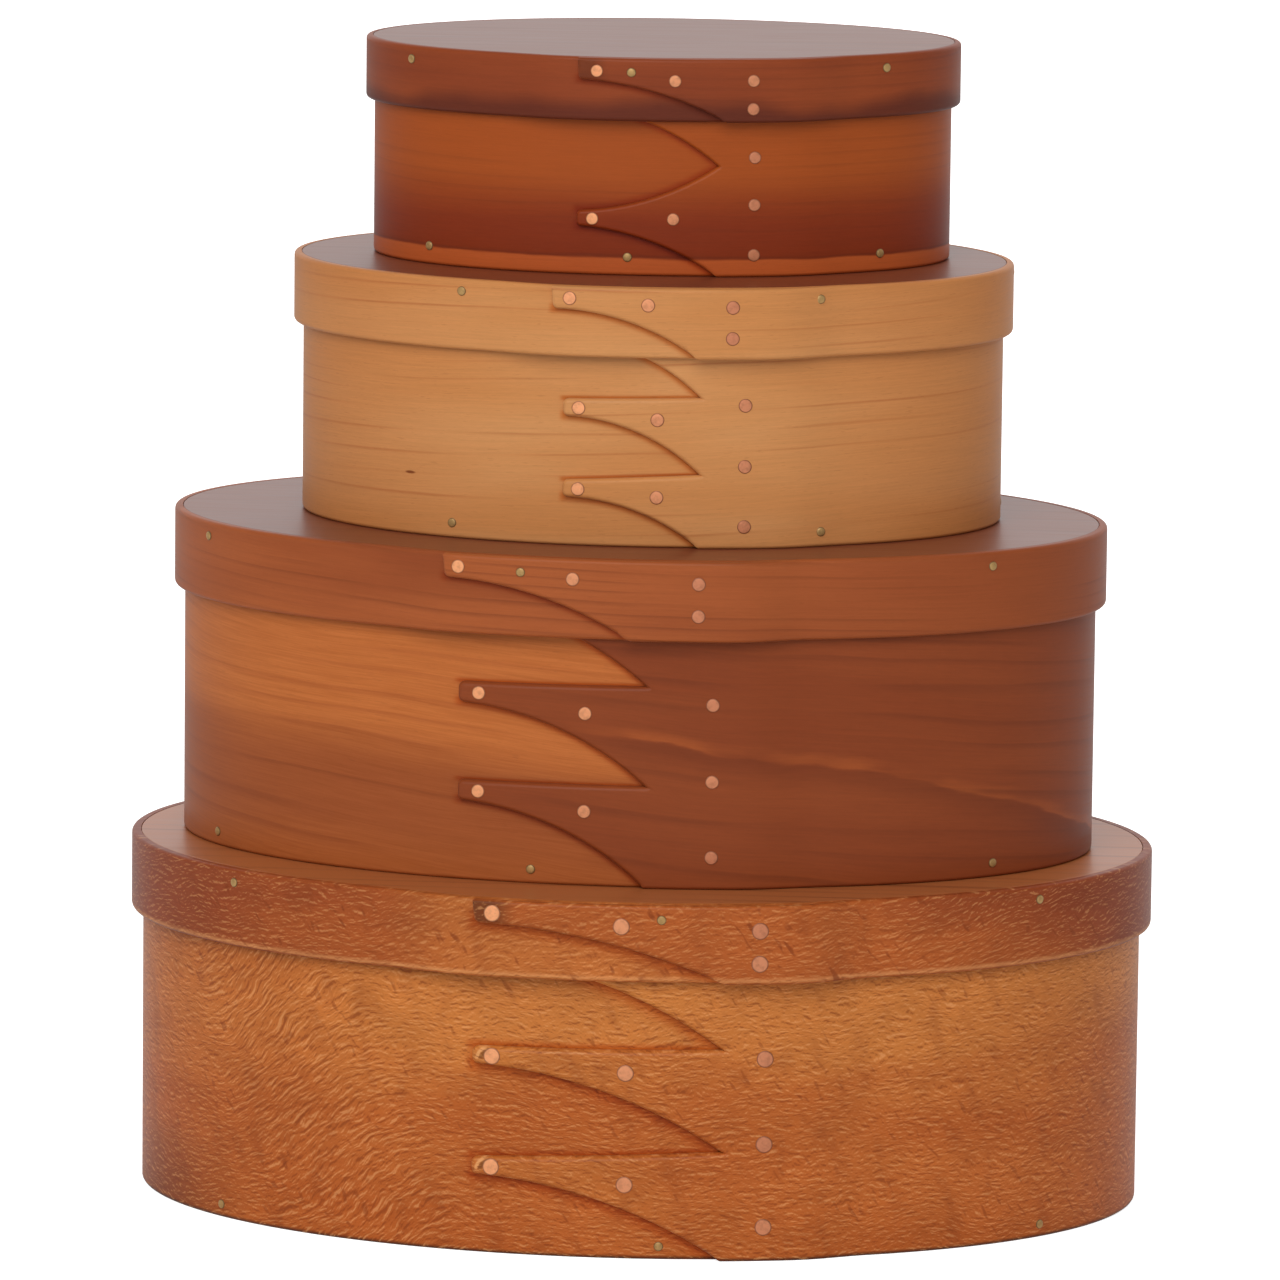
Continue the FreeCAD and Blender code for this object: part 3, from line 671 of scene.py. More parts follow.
def rippled(wood, band, tone, climb, combed, strength, marked):
    """A ripple of short strokes, each with a painted highlight above and painted shade below,
    whose lie climbs and swings about.
    Where it is combed, the strokes run together into ridges."""
    colours = scene_colours()
    nodes = wood.nodes
    swing = nodes.noise(nodes.stretched(wood.log, (14, 9, 9), wood.shift), 1.0) - 0.5
    wave = nodes.noise(nodes.stretched(wood.log, (80, 80, 130), wood.shift), 1.0) - 0.5
    lie = wood.height - climb + swing * (18 * MM) + wave * (4 * MM)
    drawn_out, stacked = wood.along * 330, lie * 900  # the strokes are longer than they are high
    stroke = nodes.noise(nodes.join(drawn_out, 0, stacked), 3.0, 0.6)
    # the strokes a little lower, so that each stroke is painted as a relief lit from above
    below = nodes.noise(nodes.join(drawn_out, 0, stacked - 0.32), 3.0, 0.6)
    jitter = nodes.noise(nodes.join(wood.along * 150, 0, lie * 380), 1.0) - 0.5
    ridge_pitch = 1.9 * MM
    ridge = nodes.math("SINE", lie * (TURN / ridge_pitch) + jitter * 12)
    # painted highlight where a stroke stands above the one below it, painted shade where it falls
    # short; the combed ridges add to both
    painted_relief_and_ridges = (stroke - below) * 3.0 + ridge * combed * 0.2
    pale = nodes.smooth(painted_relief_and_ridges, 0.05, 0.5) * (strength * 0.85)
    tone = nodes.blend(pale, tone, colours.figured_stroke)
    gap = nodes.smooth(painted_relief_and_ridges * -1.0, 0.05, 0.5) * (strength * 1.15)
    tone = nodes.blend(gap, tone, colours.figured_gap)
    slant = wood.along * 520 + lie * 330
    across = nodes.noise(nodes.join(slant, 0, lie * 210), 1.0)
    some = nodes.smooth(wave, -0.05, 0.12)
    tone = nodes.blend(nodes.smooth(across, 0.6, 0.72) * some * marked, tone, colours.figured_gap)
    flame = nodes.noise(nodes.join(wood.along * 150 + lie * 40, 0, wood.height * 75), 3.0)
    tone = nodes.blend(nodes.smooth(flame, 0.5, 0.72) * 0.26, tone, colours.figured_gap)
    tone = shade(nodes, tone, 0.9 + wood.fibre * 0.2 + wave * 0.25)
    # pooled varnish and painted shade along the fingers' edges
    tone = pooled(wood, band, tone, 4.0 * MM)
    return nodes.surface(tone, 0.44 - stroke * 0.14, stroke, 0.045 * MM)


def chipped_tip(wood, band, tone, height):
    """A worn crescent between a finger's end and the tack beside it."""
    colours = scene_colours()
    nodes = wood.nodes
    tack_setback, hollow_radius, ridge_radius = 5.2 * MM, 2.9 * MM, 3.9 * MM
    across = (wood.along - band.along_front(band.tip + tack_setback)) * -1.0
    up = wood.height - height + 1.4 * MM
    apart = nodes.math("SQRT", across * across + up * up)
    beside = nodes.smooth(across, 0.3 * MM, 2.0 * MM) * nodes.smooth(up, 0, 1.2 * MM)
    from_hollow = nodes.math("ABSOLUTE", apart - hollow_radius)
    dark = 1 - nodes.smooth(from_hollow, 0.3 * MM, 0.8 * MM)
    from_ridge = nodes.math("ABSOLUTE", apart - ridge_radius)
    pale = 1 - nodes.smooth(from_ridge, 0.2 * MM, 0.6 * MM)
    tone = nodes.blend(dark * beside * 0.7, tone, colours.chip)
    return nodes.blend(pale * beside * 0.8, tone, colours.figured_stroke)


def board_wood(name, seed, tone):
    """An oval board of quiet cherry, its rings running across the height of the bands."""
    wood = plank(name, seed, wander=5.0 * MM)
    nodes = wood.nodes
    nodes.shader.inputs["Specular IOR Level"].default_value = 0.66
    across = nodes.split(wood.log)[1]
    rings = replace(wood, log=nodes.join(wood.along, wood.height, across), bent=across)
    grain = nodes.noise(nodes.stretched(wood.log, (30, 900, 900), wood.shift), 2.0, 0.6)
    tone = nodes.blend(growth(rings, 7 * MM) * 0.4, tone, scene_colours().heart_line)
    tone = shade(nodes, tone, 0.86 + grain * 0.28)
    return nodes.surface(tone, 0.3 + grain * 0.12, grain, 0.012 * MM)


def metal(name, bright, dull, rim_tone):
    """A hammered head, brighter where rubbed, its rim darkened by oxide and painted shade."""
    nodes = Finish(name, Metallic=0.45)
    place = nodes.add("ShaderNodeTexCoord", {}, {}, "Object")
    mottle = nodes.noise(nodes.stretched(place, (700, 700, 700)), 3.0, 0.6)
    tone = nodes.blend(nodes.stored("polish", "Fac"), dull, bright)
    tone = nodes.blend(nodes.smooth(mottle, 0.4, 0.75) * 0.3, tone, rim_tone)
    # dark rim: partly oxide, partly painted shade where the head meets the wood
    rim = nodes.smooth(nodes.stored("rim", "Fac"), 0.8, 0.97)
    tone = nodes.blend(rim * 0.75, tone, rim_tone)
    return nodes.surface(tone, 0.42 + mottle * 0.2, mottle, 0.03 * MM)


# ---------------------------------------------------------------- modelling by hand


@contextmanager
def editing(piece):
    """Edit mode on one piece alone."""
    bpy.ops.object.select_all(action="DESELECT")
    piece.select_set(True)
    bpy.context.view_layer.objects.active = piece
    bpy.ops.object.mode_set(mode="EDIT")
    yield
    bpy.ops.object.mode_set(mode="OBJECT")


def pick(piece, kind, test):
    """In edit mode, selects only the vertices, edges or faces that pass a test."""
    bpy.ops.mesh.select_mode(type={"verts": "VERT", "edges": "EDGE", "faces": "FACE"}[kind])
    bpy.ops.mesh.select_all(action="DESELECT")
    shape = bmesh.from_edit_mesh(piece.data)
    shape.normal_update()
    for part in [part for part in getattr(shape, kind) if test(part)]:
        part.select_set(True)
    bmesh.update_edit_mesh(piece.data)


def choose(*pieces):
    """Selects pieces alone, the first of them active."""
    bpy.ops.object.select_all(action="DESELECT")
    for piece in pieces:
        piece.select_set(True)
    bpy.context.view_layer.objects.active = pieces[0]


def apply(piece, kind, **settings):
    """Adds a modifier to a piece and applies it."""
    modifier = piece.modifiers.new(kind.lower(), kind)
    for name, setting in settings.items():
        setattr(modifier, name, setting)
    choose(piece)
    bpy.ops.object.modifier_apply(modifier=modifier.name)


def discard(piece):
    choose(piece)
    bpy.ops.object.delete()


def both(edge, test):
    """Whether both ends of an edge pass a test."""
    return all(test(vertex.co) for vertex in edge.verts)


def keep_flat_place(piece):
    """Stores where each point lies in the flat wood, for its grain to follow."""
    places = piece.data.attributes.new("flat", "FLOAT_VECTOR", "POINT")
    for place, vertex in zip(places.data, piece.data.vertices):
        place.vector = vertex.co


def ease(value, low, high):
    """0 up to low, 1 from high, and a smooth rise between them."""
    share = min(1.0, max(0.0, (value - low) / (high - low)))
    return (1 - math.cos(math.pi * share)) / 2


class Oval:
    """An ellipse drawn by its form angle: 0 is the front middle, a quarter turn the right end."""

    def __init__(self, length, width):
        self.half_length = length / 2
        self.half_width = width / 2

    def angle_at(self, x):
        return math.asin(x / self.half_length)

    def outward(self, angle):
        across = math.sin(angle) / self.half_length
        along = -math.cos(angle) / self.half_width
        return Vector((across, along, 0)).normalized()

    def point(self, angle, offset=0.0, height=0.0):
        x = self.half_length * math.sin(angle)
        y = -self.half_width * math.cos(angle)
        return Vector((x, y, height)) + self.outward(angle) * offset


@dataclass
class Finger:
    """One finger of a lap, seen from the front: its tip and the ends of the cuts beside it."""

    tip_low: float
    tip_high: float
    root_low: float
    root_high: float


@dataclass
class FingerEdge:
    """A finger's edge in the front plane: part of a circle, or a line where it has no centre."""

    centre: object
    radius: float
    start: float = 0.0  # height of a line where x is nought
    slope: float = 0.0

    def distance(self, nodes, place):
        if self.centre is None:
            x, _, height = nodes.split(place)
            return nodes.math("ABSOLUTE", height - self.start - x * self.slope)
        middle = nodes.join(self.centre.x, 0, self.centre.y)
        sockets = {0: place, 1: middle}
        apart = nodes.add("ShaderNodeVectorMath", {"operation": "DISTANCE"}, sockets, "Value")
        return nodes.math("ABSOLUTE", apart - self.radius)


@dataclass
class LappedBand:
    """A strip of wood bent once round the oval.  Its inner end is feathered, and its outer end
    lies over that and is cut into fingers.  Offsets are from the oval, outwards."""

    oval: Oval
    form: object  # offset of the face inside the bend, by form angle
    wood: float
    floor: float
    top: float
    tip: float
    root: float
    column: float
    fingers: list
    sag: float
    arched: bool
    foot_round: float
    top_round: float

    def __post_init__(self):
        self.tip_angle = self.oval.angle_at(self.tip)
        self.feather_start = self.oval.angle_at(self.column + LAP_MARGIN)
        self.feather_end = self.oval.angle_at(self.column + LAP_MARGIN + FEATHER_LENGTH)
        share = math.acos(1 - 2 * (1 - FEATHER_EDGE / self.wood)) / math.pi
        inner_end = self.feather_start + share * (self.feather_end - self.feather_start)
        self.end_angle = TURN + inner_end
        self.spans = math.ceil((self.end_angle - self.tip_angle) / PATH_STEP)
        self.span = (self.end_angle - self.tip_angle) / self.spans
        self.lengths = [0.0]
        step = self.span / PATH_FINENESS
        for i in range(self.spans * PATH_FINENESS):
            start = self.tip_angle + i * step
            run = self.bend_point(start + step) - self.bend_point(start)
            self.lengths.append(self.lengths[-1] + run.length)

    def rise(self, angle):
        """1 where the inner layer has its full thickness, 0 past its feathered end."""
        return 1 - ease(angle, self.feather_start, self.feather_end)

    def inner_face(self, angle):
        return self.form(angle)

    def over_inner(self, angle):
        """The outer layer's inner face."""
        rise = self.rise(angle)
        gap = GLUE_LINE * min(1.0, rise * self.wood / FEATHER_EDGE)
        return self.form(angle) + self.wood * rise + gap

    def over_outer(self, angle):
        return self.over_inner(angle) + self.wood

    def single_outer(self, angle):
        return self.form(angle) + self.wood

    def bend_point(self, angle):
        """A point of the strip's inner face, from its outer tip once round to its inner end."""
        outer_layer = angle < self.feather_end
        offset = self.over_inner(angle) if outer_layer else self.form(angle)
        return self.oval.point(angle, offset)

    def along(self, angle):
        """Length of the strip from its outer tip to a form angle."""
        place = (angle - self.tip_angle) / self.span * PATH_FINENESS
        index = max(0, min(int(place), len(self.lengths) - 2))
        share = place - index
        return self.lengths[index] * (1 - share) + self.lengths[index + 1] * share

    def along_front(self, x):
        """Length of the strip up to a station of its outer layer."""
        return self.along(self.oval.angle_at(x))

    def along_inner(self, x):
        """Length of the strip up to a station of its inner layer."""
        return self.along(TURN + self.oval.angle_at(x))

    def strip_length(self):
        return self.lengths[-1]

    def curve(self, tip_height, root_height):
        """The circle of a finger's curved edge, in the front plane."""
        tip = Vector((self.tip, tip_height))
        middle_height = tip_height + (root_height - tip_height) * self.sag
        middle = Vector(((self.tip + self.root) / 2, middle_height))
        centre = circle_centre(tip, middle, Vector((self.root, root_height)))
        return FingerEdge(centre, (tip - centre).length)

    def finger_edges(self):
        """The long edges of all the fingers."""
        edges = []
        for finger in self.fingers:
            edges.append(self.curve(finger.tip_low, finger.root_low))
            if self.arched:
                edges.append(self.curve(finger.tip_high, finger.root_high))
            elif finger.root_high < self.top:
                slope = (finger.root_high - finger.tip_high) / (self.root - self.tip)
                start = finger.tip_high - slope * self.tip
                edges.append(FingerEdge(None, 0.0, start, slope))
        return edges

    def arc(self, tip_height, root_height):
        """Points of a finger's curved edge from its tip to its root, in the front plane."""
        tip = Vector((self.tip, tip_height))
        root = Vector((self.root, root_height))
        circle = self.curve(tip_height, root_height)
        centre, radius = circle.centre, circle.radius
        start = math.atan2(*(tip - centre).yx)
        sweep = math.remainder(math.atan2(*(root - centre).yx) - start, TURN)
        angles = [start + sweep * i / ARC_POINTS for i in range(ARC_POINTS + 1)]
        return [centre + Vector((math.cos(a), math.sin(a))) * radius for a in angles]

    def notches(self):
        """Outlines of the cuts between the fingers, from the lowest up, in the front plane."""
        left = self.tip - MARGIN
        outlines = []
        for low, high in zip([None] + self.fingers, self.fingers + [None]):
            outline = []
            if low is None:
                below = self.floor - MARGIN
                outline += [Vector((left, below)), Vector((self.root, below))]
            elif high is None and low.root_high >= self.top:
                continue
            elif self.arched:
                outline += [Vector((left, low.tip_high))]
                outline += self.arc(low.tip_high, low.root_high)
            else:
                outline += [Vector((left, low.tip_high)), Vector((self.tip, low.tip_high))]
                outline += [Vector((self.root, low.root_high))]
            if high is None:
                above = self.top + MARGIN
                outline += [Vector((self.root, above)), Vector((left, above))]
            else:
                curve = self.arc(high.tip_low, high.root_low)
                if low is not None:
                    curve = curve[:-1]
                outline += list(reversed(curve)) + [Vector((left, high.tip_low))]
            outlines.append(outline)
        return outlines


def circle_centre(a, b, c):
    """The centre of the circle through three points of a plane."""
    twice = 2 * (a.x * (b.y - c.y) + b.x * (c.y - a.y) + c.x * (a.y - b.y))
    squares = a.length_squared, b.length_squared, c.length_squared
    x = squares[0] * (b.y - c.y) + squares[1] * (c.y - a.y) + squares[2] * (a.y - b.y)
    y = squares[0] * (c.x - b.x) + squares[1] * (a.x - c.x) + squares[2] * (b.x - a.x)
    return Vector((x, y)) / twice


def side_of(box):
    """The side band, which reaches up to the lid's board, and its tacks' stations."""
    top = box.height - box.lid_board

    def on_band(heights):
        return [height if height > 0 else top + height for height in heights]

    half_tip = box.tip_width / 2
    tips = on_band(box.tip_heights)
    roots = on_band(box.root_heights)
    band = LappedBand(
        oval=Oval(box.length, box.width),
        form=lambda angle: -box.wood,
        wood=box.wood,
        floor=0.0,
        top=top,
        tip=box.finger_tip,
        root=box.finger_root,
        column=box.tack_column,
        fingers=[
            Finger(tip - half_tip, tip + half_tip, root_low, root_high)
            for tip, root_low, root_high in zip(tips, [0.0] + roots, roots)
        ],
        sag=box.finger_sag,
        arched=box.arched_tops,
        foot_round=scene_sizes().side_foot,
        top_round=scene_sizes().side_top,
    )
    stations = [(box.tack_column, height) for height in on_band(box.tack_heights)]
    stations += [(box.finger_tip + box.tip_tack, height) for height in tips]
    stations += [(box.root_tack, height) for height in on_band(box.root_tack_heights)]
    return band, stations


def lid_of(box):
    """The lid's band, made round the side band that it drops over, and its tacks' stations."""
    side, _ = side_of(box)
    bulge = box.wood + GLUE_LINE
    runout = side.oval.angle_at(box.finger_tip - FORM_RUNOUT)

    def form(angle):
        wrapped = math.remainder(angle, TURN)
        return LID_CLEARANCE + bulge * ease(wrapped, runout, side.tip_angle) * side.rise(wrapped)

    floor = box.height - box.lid_height
    band = LappedBand(
        oval=side.oval,
        form=form,
        wood=box.wood,
        floor=floor,
        top=box.height,
        tip=box.lid_tip,
        root=box.lid_root,
        column=box.lid_column,
        fingers=[Finger(box.height - box.lid_tip_width, box.height, floor, box.height)],
        sag=box.finger_sag,
        arched=False,
        foot_round=scene_sizes().lid_foot,
        top_round=scene_sizes().lid_top,
    )
    setback, tip_depth = box.lid_tip_tack
    root_x, root_depth = box.lid_root_tack
    stations = [(box.lid_tip + setback, box.height - tip_depth)]
    stations += [(root_x, box.height - root_depth)]
    stations += [(box.lid_column, box.height - depth) for depth in box.lid_column_depths]
    return band, stations


def cut_strip(name, band):
    """A straight strip, as long as the bend needs, with its long edges rounded."""
    size = Vector((band.strip_length(), band.wood, band.top - band.floor))
    centre = Vector((size.x / 2, -size.y / 2, (band.floor + band.top) / 2))
    bpy.ops.object.select_all(action="DESELECT")
    bpy.ops.mesh.primitive_cube_add(size=1.0, location=centre, scale=size)
    strip = bpy.context.object
    strip.name = name
    bpy.ops.object.transform_apply(location=True, rotation=True, scale=True)
    with editing(strip):
        for height, radius in ((band.floor, band.foot_round), (band.top, band.top_round)):
            pick(strip, "edges", lambda edge: both(
                edge, lambda co: abs(co.z - height) < TINY and co.y < -band.wood + TINY
            ))
            bpy.ops.mesh.bevel(offset=radius, segments=4, profile=0.5, affect="EDGES")
    return strip


def cut_fingers(strip, band):
    """Saws the waste from between the fingers and bevels their edges with a knife."""
    for outline in band.notches():
        bpy.ops.object.select_all(action="DESELECT")
        bpy.ops.mesh.primitive_circle_add(vertices=len(outline), fill_type="NGON")
        waste = bpy.context.object
        for vertex, corner in zip(waste.data.vertices, outline):
            on_strip = max(corner.x, band.tip)
            along = band.along_front(on_strip) + min(0.0, corner.x - band.tip)
            vertex.co = along, MARGIN, corner.y
        with editing(waste):
            bpy.ops.mesh.select_all(action="SELECT")
            through = (0, -band.wood - 2 * MARGIN, 0)
            bpy.ops.mesh.extrude_region_move(TRANSFORM_OT_translate={"value": through})
            bpy.ops.mesh.select_all(action="SELECT")
            bpy.ops.mesh.normals_make_consistent(inside=False)
        apply(strip, "BOOLEAN", object=waste, operation="DIFFERENCE", solver="EXACT")
        discard(waste)
    bevel = scene_sizes().finger_bevel * band.wood
    clear = band.along_front(band.root) + TINY
    with editing(strip):
        bpy.ops.mesh.select_all(action="SELECT")
        bpy.ops.mesh.remove_doubles(threshold=TINY)
        bpy.ops.mesh.normals_make_consistent(inside=False)

        def tip_corner(edge):
            level = edge.verts[0].co.z
            inside = band.floor + band.foot_round < level < band.top - band.top_round
            return inside and both(edge, lambda co: co.x < TINY and abs(co.z - level) < TINY)

        pick(strip, "edges", tip_corner)
        bpy.ops.mesh.bevel(offset=bevel * scene_sizes().tip_round, segments=4, affect="EDGES")

        def finger_edge(edge):
            if len(edge.link_faces) != 2 or not both(edge, lambda co: co.x < clear):
                return False
            facing = sorted(face.normal.y for face in edge.link_faces)
            return facing[0] < -0.99 and abs(facing[1]) < 0.1

        pick(strip, "edges", finger_edge)
        bpy.ops.mesh.bevel(offset=bevel, segments=3, profile=0.5, affect="EDGES")
    return strip


def divide_strip(strip, band):
    """Crosswise cuts all along the strip, so that it can bend, and its pared inner end."""
    clear = band.along_front(band.root) + ROOT_MARGIN
    cuts = math.ceil(clear / STATION)
    rest = band.strip_length() - clear
    rounds = math.ceil(math.sqrt(rest / STATION))
    with editing(strip):
        for i in range(1, cuts + 1):
            bpy.ops.mesh.select_all(action="SELECT")
            place = (clear * i / cuts, 0, 0)
            bpy.ops.mesh.bisect(plane_co=place, plane_no=(1, 0, 0))
        for shortest in (rest * 0.9, rest / rounds * 0.9):
            pick(strip, "edges", lambda edge: (
                both(edge, lambda co: co.x > clear - TINY)
                and abs(edge.verts[0].co.x - edge.verts[1].co.x) > shortest
            ))
            bpy.ops.mesh.subdivide(number_cuts=rounds - 1)
        shape = bmesh.from_edit_mesh(strip.data)
        stations = sorted({round(vertex.co.x, 6) for vertex in shape.verts})
        pared = band.along(TURN + band.feather_start)
        for station in [x for x in stations if x > pared]:
            angle = band.feather_start + (station - pared) / (
                band.strip_length() - pared
            ) * (band.end_angle - TURN - band.feather_start)
            thin = band.rise(angle)
            pick(strip, "verts", lambda vertex: (
                abs(vertex.co.x - station) < TINY and vertex.co.y < -TINY
            ))
            bpy.ops.transform.resize(value=(1, thin, 1), center_override=(station, 0, 0))


def bend_strip(strip, band):
    """Wraps the strip round its oval, from its outer tip to its inner end."""
    bpy.ops.object.select_all(action="DESELECT")
    bpy.ops.curve.primitive_bezier_curve_add(location=(0, 0, 0))
    path = bpy.context.object
    knots = path.data.splines[0].bezier_points
    knots.add(band.spans + 1 - len(knots))
    small = band.span / 100
    for i, knot in enumerate(knots):
        angle = band.tip_angle + i * band.span
        ahead = band.bend_point(angle + small) - band.bend_point(angle - small)
        handle = ahead * (band.span / (6 * small))
        knot.handle_left_type = knot.handle_right_type = "FREE"
        knot.co = band.bend_point(angle)
        knot.handle_left = knot.co - handle
        knot.handle_right = knot.co + handle
    path.data.dimensions = "2D"
    path.data.resolution_u = PATH_FINENESS
    apply(strip, "CURVE", object=path, deform_axis="POS_X")
    discard(path)


def finish_piece(piece, box, body, node, material):
    """Sets a piece in its place in the stack and hands it to the frame."""
    piece.data.transform(stack_place(box))
    choose(piece)
    bpy.ops.object.shade_smooth_by_angle(angle=SMOOTH_BELOW)
    apply(piece, "WEIGHTED_NORMAL", keep_sharp=True)
    piece.data.materials.clear()
    piece.data.materials.append(material)
    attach(piece, body)
    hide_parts(node)


def stack_place(box):
    """Where a box stands, a little shifted and turned, on all those below it."""
    stand = sum(below.height for below in BOXES[: BOXES.index(box)])
    moved = Matrix.Translation((box.shift_x, box.shift_y, stand))
    return moved @ Matrix.Rotation(math.radians(box.turn), 4, "Z")


def bent_band(name, band):
    """A band from the flat strip to the bent oval, which remembers its flat places."""
    strip = cut_strip(name, band)
    cut_fingers(strip, band)
    divide_strip(strip, band)
    keep_flat_place(strip)
    bend_strip(strip, band)
    return strip


def oval_board(name, band, floor, thickness):
    """A board sawn to fit inside a band."""
    bpy.ops.object.select_all(action="DESELECT")
    bpy.ops.mesh.primitive_circle_add(vertices=BOARD_POINTS, radius=1, fill_type="NGON")
    board = bpy.context.object
    board.name = name
    for vertex in board.data.vertices:
        angle = math.atan2(vertex.co.x, -vertex.co.y)
        offset = band.inner_face(angle) - BOARD_CLEARANCE
        vertex.co = band.oval.point(angle, offset, floor)
    with editing(board):
        bpy.ops.mesh.select_all(action="SELECT")
        bpy.ops.mesh.extrude_region_move(TRANSFORM_OT_translate={"value": (0, 0, thickness)})
        bpy.ops.mesh.select_all(action="SELECT")
        bpy.ops.mesh.normals_make_consistent(inside=False)
        pick(board, "edges", lambda edge: abs(edge.verts[0].co.z - edge.verts[1].co.z) < TINY)
        bpy.ops.mesh.bevel(offset=scene_sizes().board_edge, segments=3, affect="EDGES")
    keep_flat_place(board)
    return board


def turned_piece(name, profile):
    """A round piece about Z, drawn up ring by ring from its point to the middle of its head."""
    radius, height = profile[0]
    bpy.ops.object.select_all(action="DESELECT")
    bpy.ops.mesh.primitive_circle_add(
        vertices=ROUND_POINTS, radius=radius, fill_type="NGON", location=(0, 0, height)
    )
    piece = bpy.context.object
    piece.name = name
    bpy.ops.object.transform_apply(location=True, rotation=True, scale=True)
    with editing(piece):
        bpy.ops.mesh.select_mode(type="FACE")
        bpy.ops.mesh.select_all(action="SELECT")
        for next_radius, next_height in profile[1:]:
            step = (0, 0, next_height - height)
            bpy.ops.mesh.extrude_region_move(TRANSFORM_OT_translate={"value": step})
            wider = next_radius / radius
            bpy.ops.transform.resize(value=(wider, wider, 1), center_override=(0, 0, 0))
            radius, height = next_radius, next_height
        bpy.ops.mesh.select_all(action="SELECT")
        bpy.ops.mesh.normals_make_consistent(inside=False)
    widest = max(radius for radius, _ in profile)
    rims = piece.data.attributes.new("rim", "FLOAT", "POINT")
    for rim, vertex in zip(rims.data, piece.data.vertices):
        rim.value = vertex.co.xy.length / widest
    return piece


def copies_at(name, model, places, polishes):
    """Copies a modelled piece to its places, each with its own mesh, and joins them."""
    copies = []
    for place, polish in zip(places, polishes):
        choose(model)
        bpy.ops.object.duplicate(linked=False)
        copy = bpy.context.object
        copy.data.transform(place)
        shares = copy.data.attributes.new("polish", "FLOAT", "POINT")
        shares.data.foreach_set("value", [polish] * len(shares.data))
        copies.append(copy)
    discard(model)
    choose(*copies)
    bpy.ops.object.join()
    joined = bpy.context.object
    joined.name = name
    return joined


def tack_profile(head, shank, grip):
    """Radius and height of each ring, through wood as thick as the grip to the clinched point."""
    clinch = shank * CLINCH_GROWTH
    inside = -grip - CLINCH_PROUD
    return [
        (clinch * 0.8, inside), (clinch, inside + 0.05 * MM), (clinch, inside + CLINCH_DEPTH),
        (shank, inside + CLINCH_DEPTH), (shank, -HEAD_SUNK), (head, -HEAD_SUNK),
        (head, TACK_PROUD * 0.3), (head * 0.95, TACK_PROUD * 0.66),
        (head * 0.82, TACK_PROUD * 0.84), (head * 0.45, TACK_PROUD * 0.96),
        (head * 0.1, TACK_PROUD),
    ]


def pin_profile(grip):
    """Radius and height of each ring, through the band and into the board's edge."""
    return [
        (PIN_SHANK * 0.2, -grip - PIN_REACH), (PIN_SHANK, -grip - PIN_REACH + PIN_SHANK),
        (PIN_SHANK, -HEAD_SUNK), (PIN_HEAD, -HEAD_SUNK), (PIN_HEAD, PIN_PROUD * 0.2),
        (PIN_HEAD * 0.86, PIN_PROUD * 0.62), (PIN_HEAD * 0.55, PIN_PROUD * 0.9),
        (PIN_HEAD * 0.12, PIN_PROUD),
    ]


def driven_place(place, outward, spin=0.0):
    """Turns an upright tack or pin to be driven into a face, its head outwards."""
    turned = outward.to_track_quat("Z", "Y").to_matrix().to_4x4()
    return Matrix.Translation(place) @ turned @ Matrix.Rotation(spin, 4, "Z")


def tack_set(name, box, band, stations):
    """The tacks of one lap, rubbed brighter towards the fingers' tips."""
    grip = band.over_outer(0) - band.inner_face(0)
    model = turned_piece(name + "_model", tack_profile(box.tack_head, box.tack_shank, grip))
    chance = random.Random(name)
    places, polishes = [], []
    for x, height in stations:
        angle = band.oval.angle_at(x)
        place = band.oval.point(angle, band.over_outer(angle), height)
        places.append(driven_place(place, band.oval.outward(angle), chance.uniform(0, TURN)))
        rubbed = ease(band.column - x, 0, band.column - band.tip)
        polishes.append(0.15 + 0.75 * rubbed + chance.uniform(-0.1, 0.1))
    return copies_at(name, model, places, polishes)


def partner(angle):
    """Opposite a pin, or behind the left end for a pin that is behind the right one."""
    return math.tau - angle if angle > math.pi / 2 else angle + math.pi


def pin_set(name, band, half_angles, height):
    """The pins round one board: half of them and their partners across the oval."""
    model = turned_piece(name + "_model", pin_profile(band.wood))
    angles = [math.radians(angle) for angle in half_angles]
    places = []
    for angle in angles + [partner(angle) for angle in angles]:
        place = band.oval.point(angle, face_at(band, angle, height), height)
        places.append(driven_place(place, band.oval.outward(angle)))
    return copies_at(name, model, places, [1.0] * len(places))


def face_at(band, angle, height):
    """Offset of the face that shows at a place on the band."""
    if not band.tip_angle <= angle <= band.feather_end:
        return band.single_outer(angle)
    x = band.oval.point(angle).x
    for outline in band.notches():
        if inside_outline(outline, x, height):
            return band.form(angle) + band.wood * band.rise(angle)
    return band.over_outer(angle)


def inside_outline(outline, x, height):
    """Whether a place is in an outline, by how often a line to its right crosses it."""
    crossings = 0
    for a, b in zip(outline, outline[1:] + outline[:1]):
        if (a.y > height) != (b.y > height):
            crossings += x < a.x + (height - a.y) / (b.y - a.y) * (b.x - a.x)
    return crossings % 2 == 1


# ---------------------------------------------------------------- operators

BAND_WOODS = {  # a slot name, and the finishes of the side and of the lid's rim
    "box4": ("figured_wood", figured, figured_rim),
    "box3": ("dark_cherry", two_toned_cherry, cherry),
    "box2": ("maple", flecked_maple, maple),
    "box1": ("streaked_cherry", streaked_cherry, streaked_rim),
}


class OVALBOX_OT_side_bands(bpy.types.Operator):
    """Cut, bevel and bend the side band of each box"""

    bl_idname = "ovalbox.side_bands"
    bl_label = "Side bands"

    def execute(self, context):
        for seed, box in enumerate(BOXES):
            band, _ = side_of(box)
            piece = bent_band(box.name + "_side", band)
            slot, wood, _ = BAND_WOODS[box.name]
            material = wood(box.name + "_side_wood", seed + 1, band)
            finish_piece(piece, box, box.name, box.name + "_side_band", material)
        return {"FINISHED"}


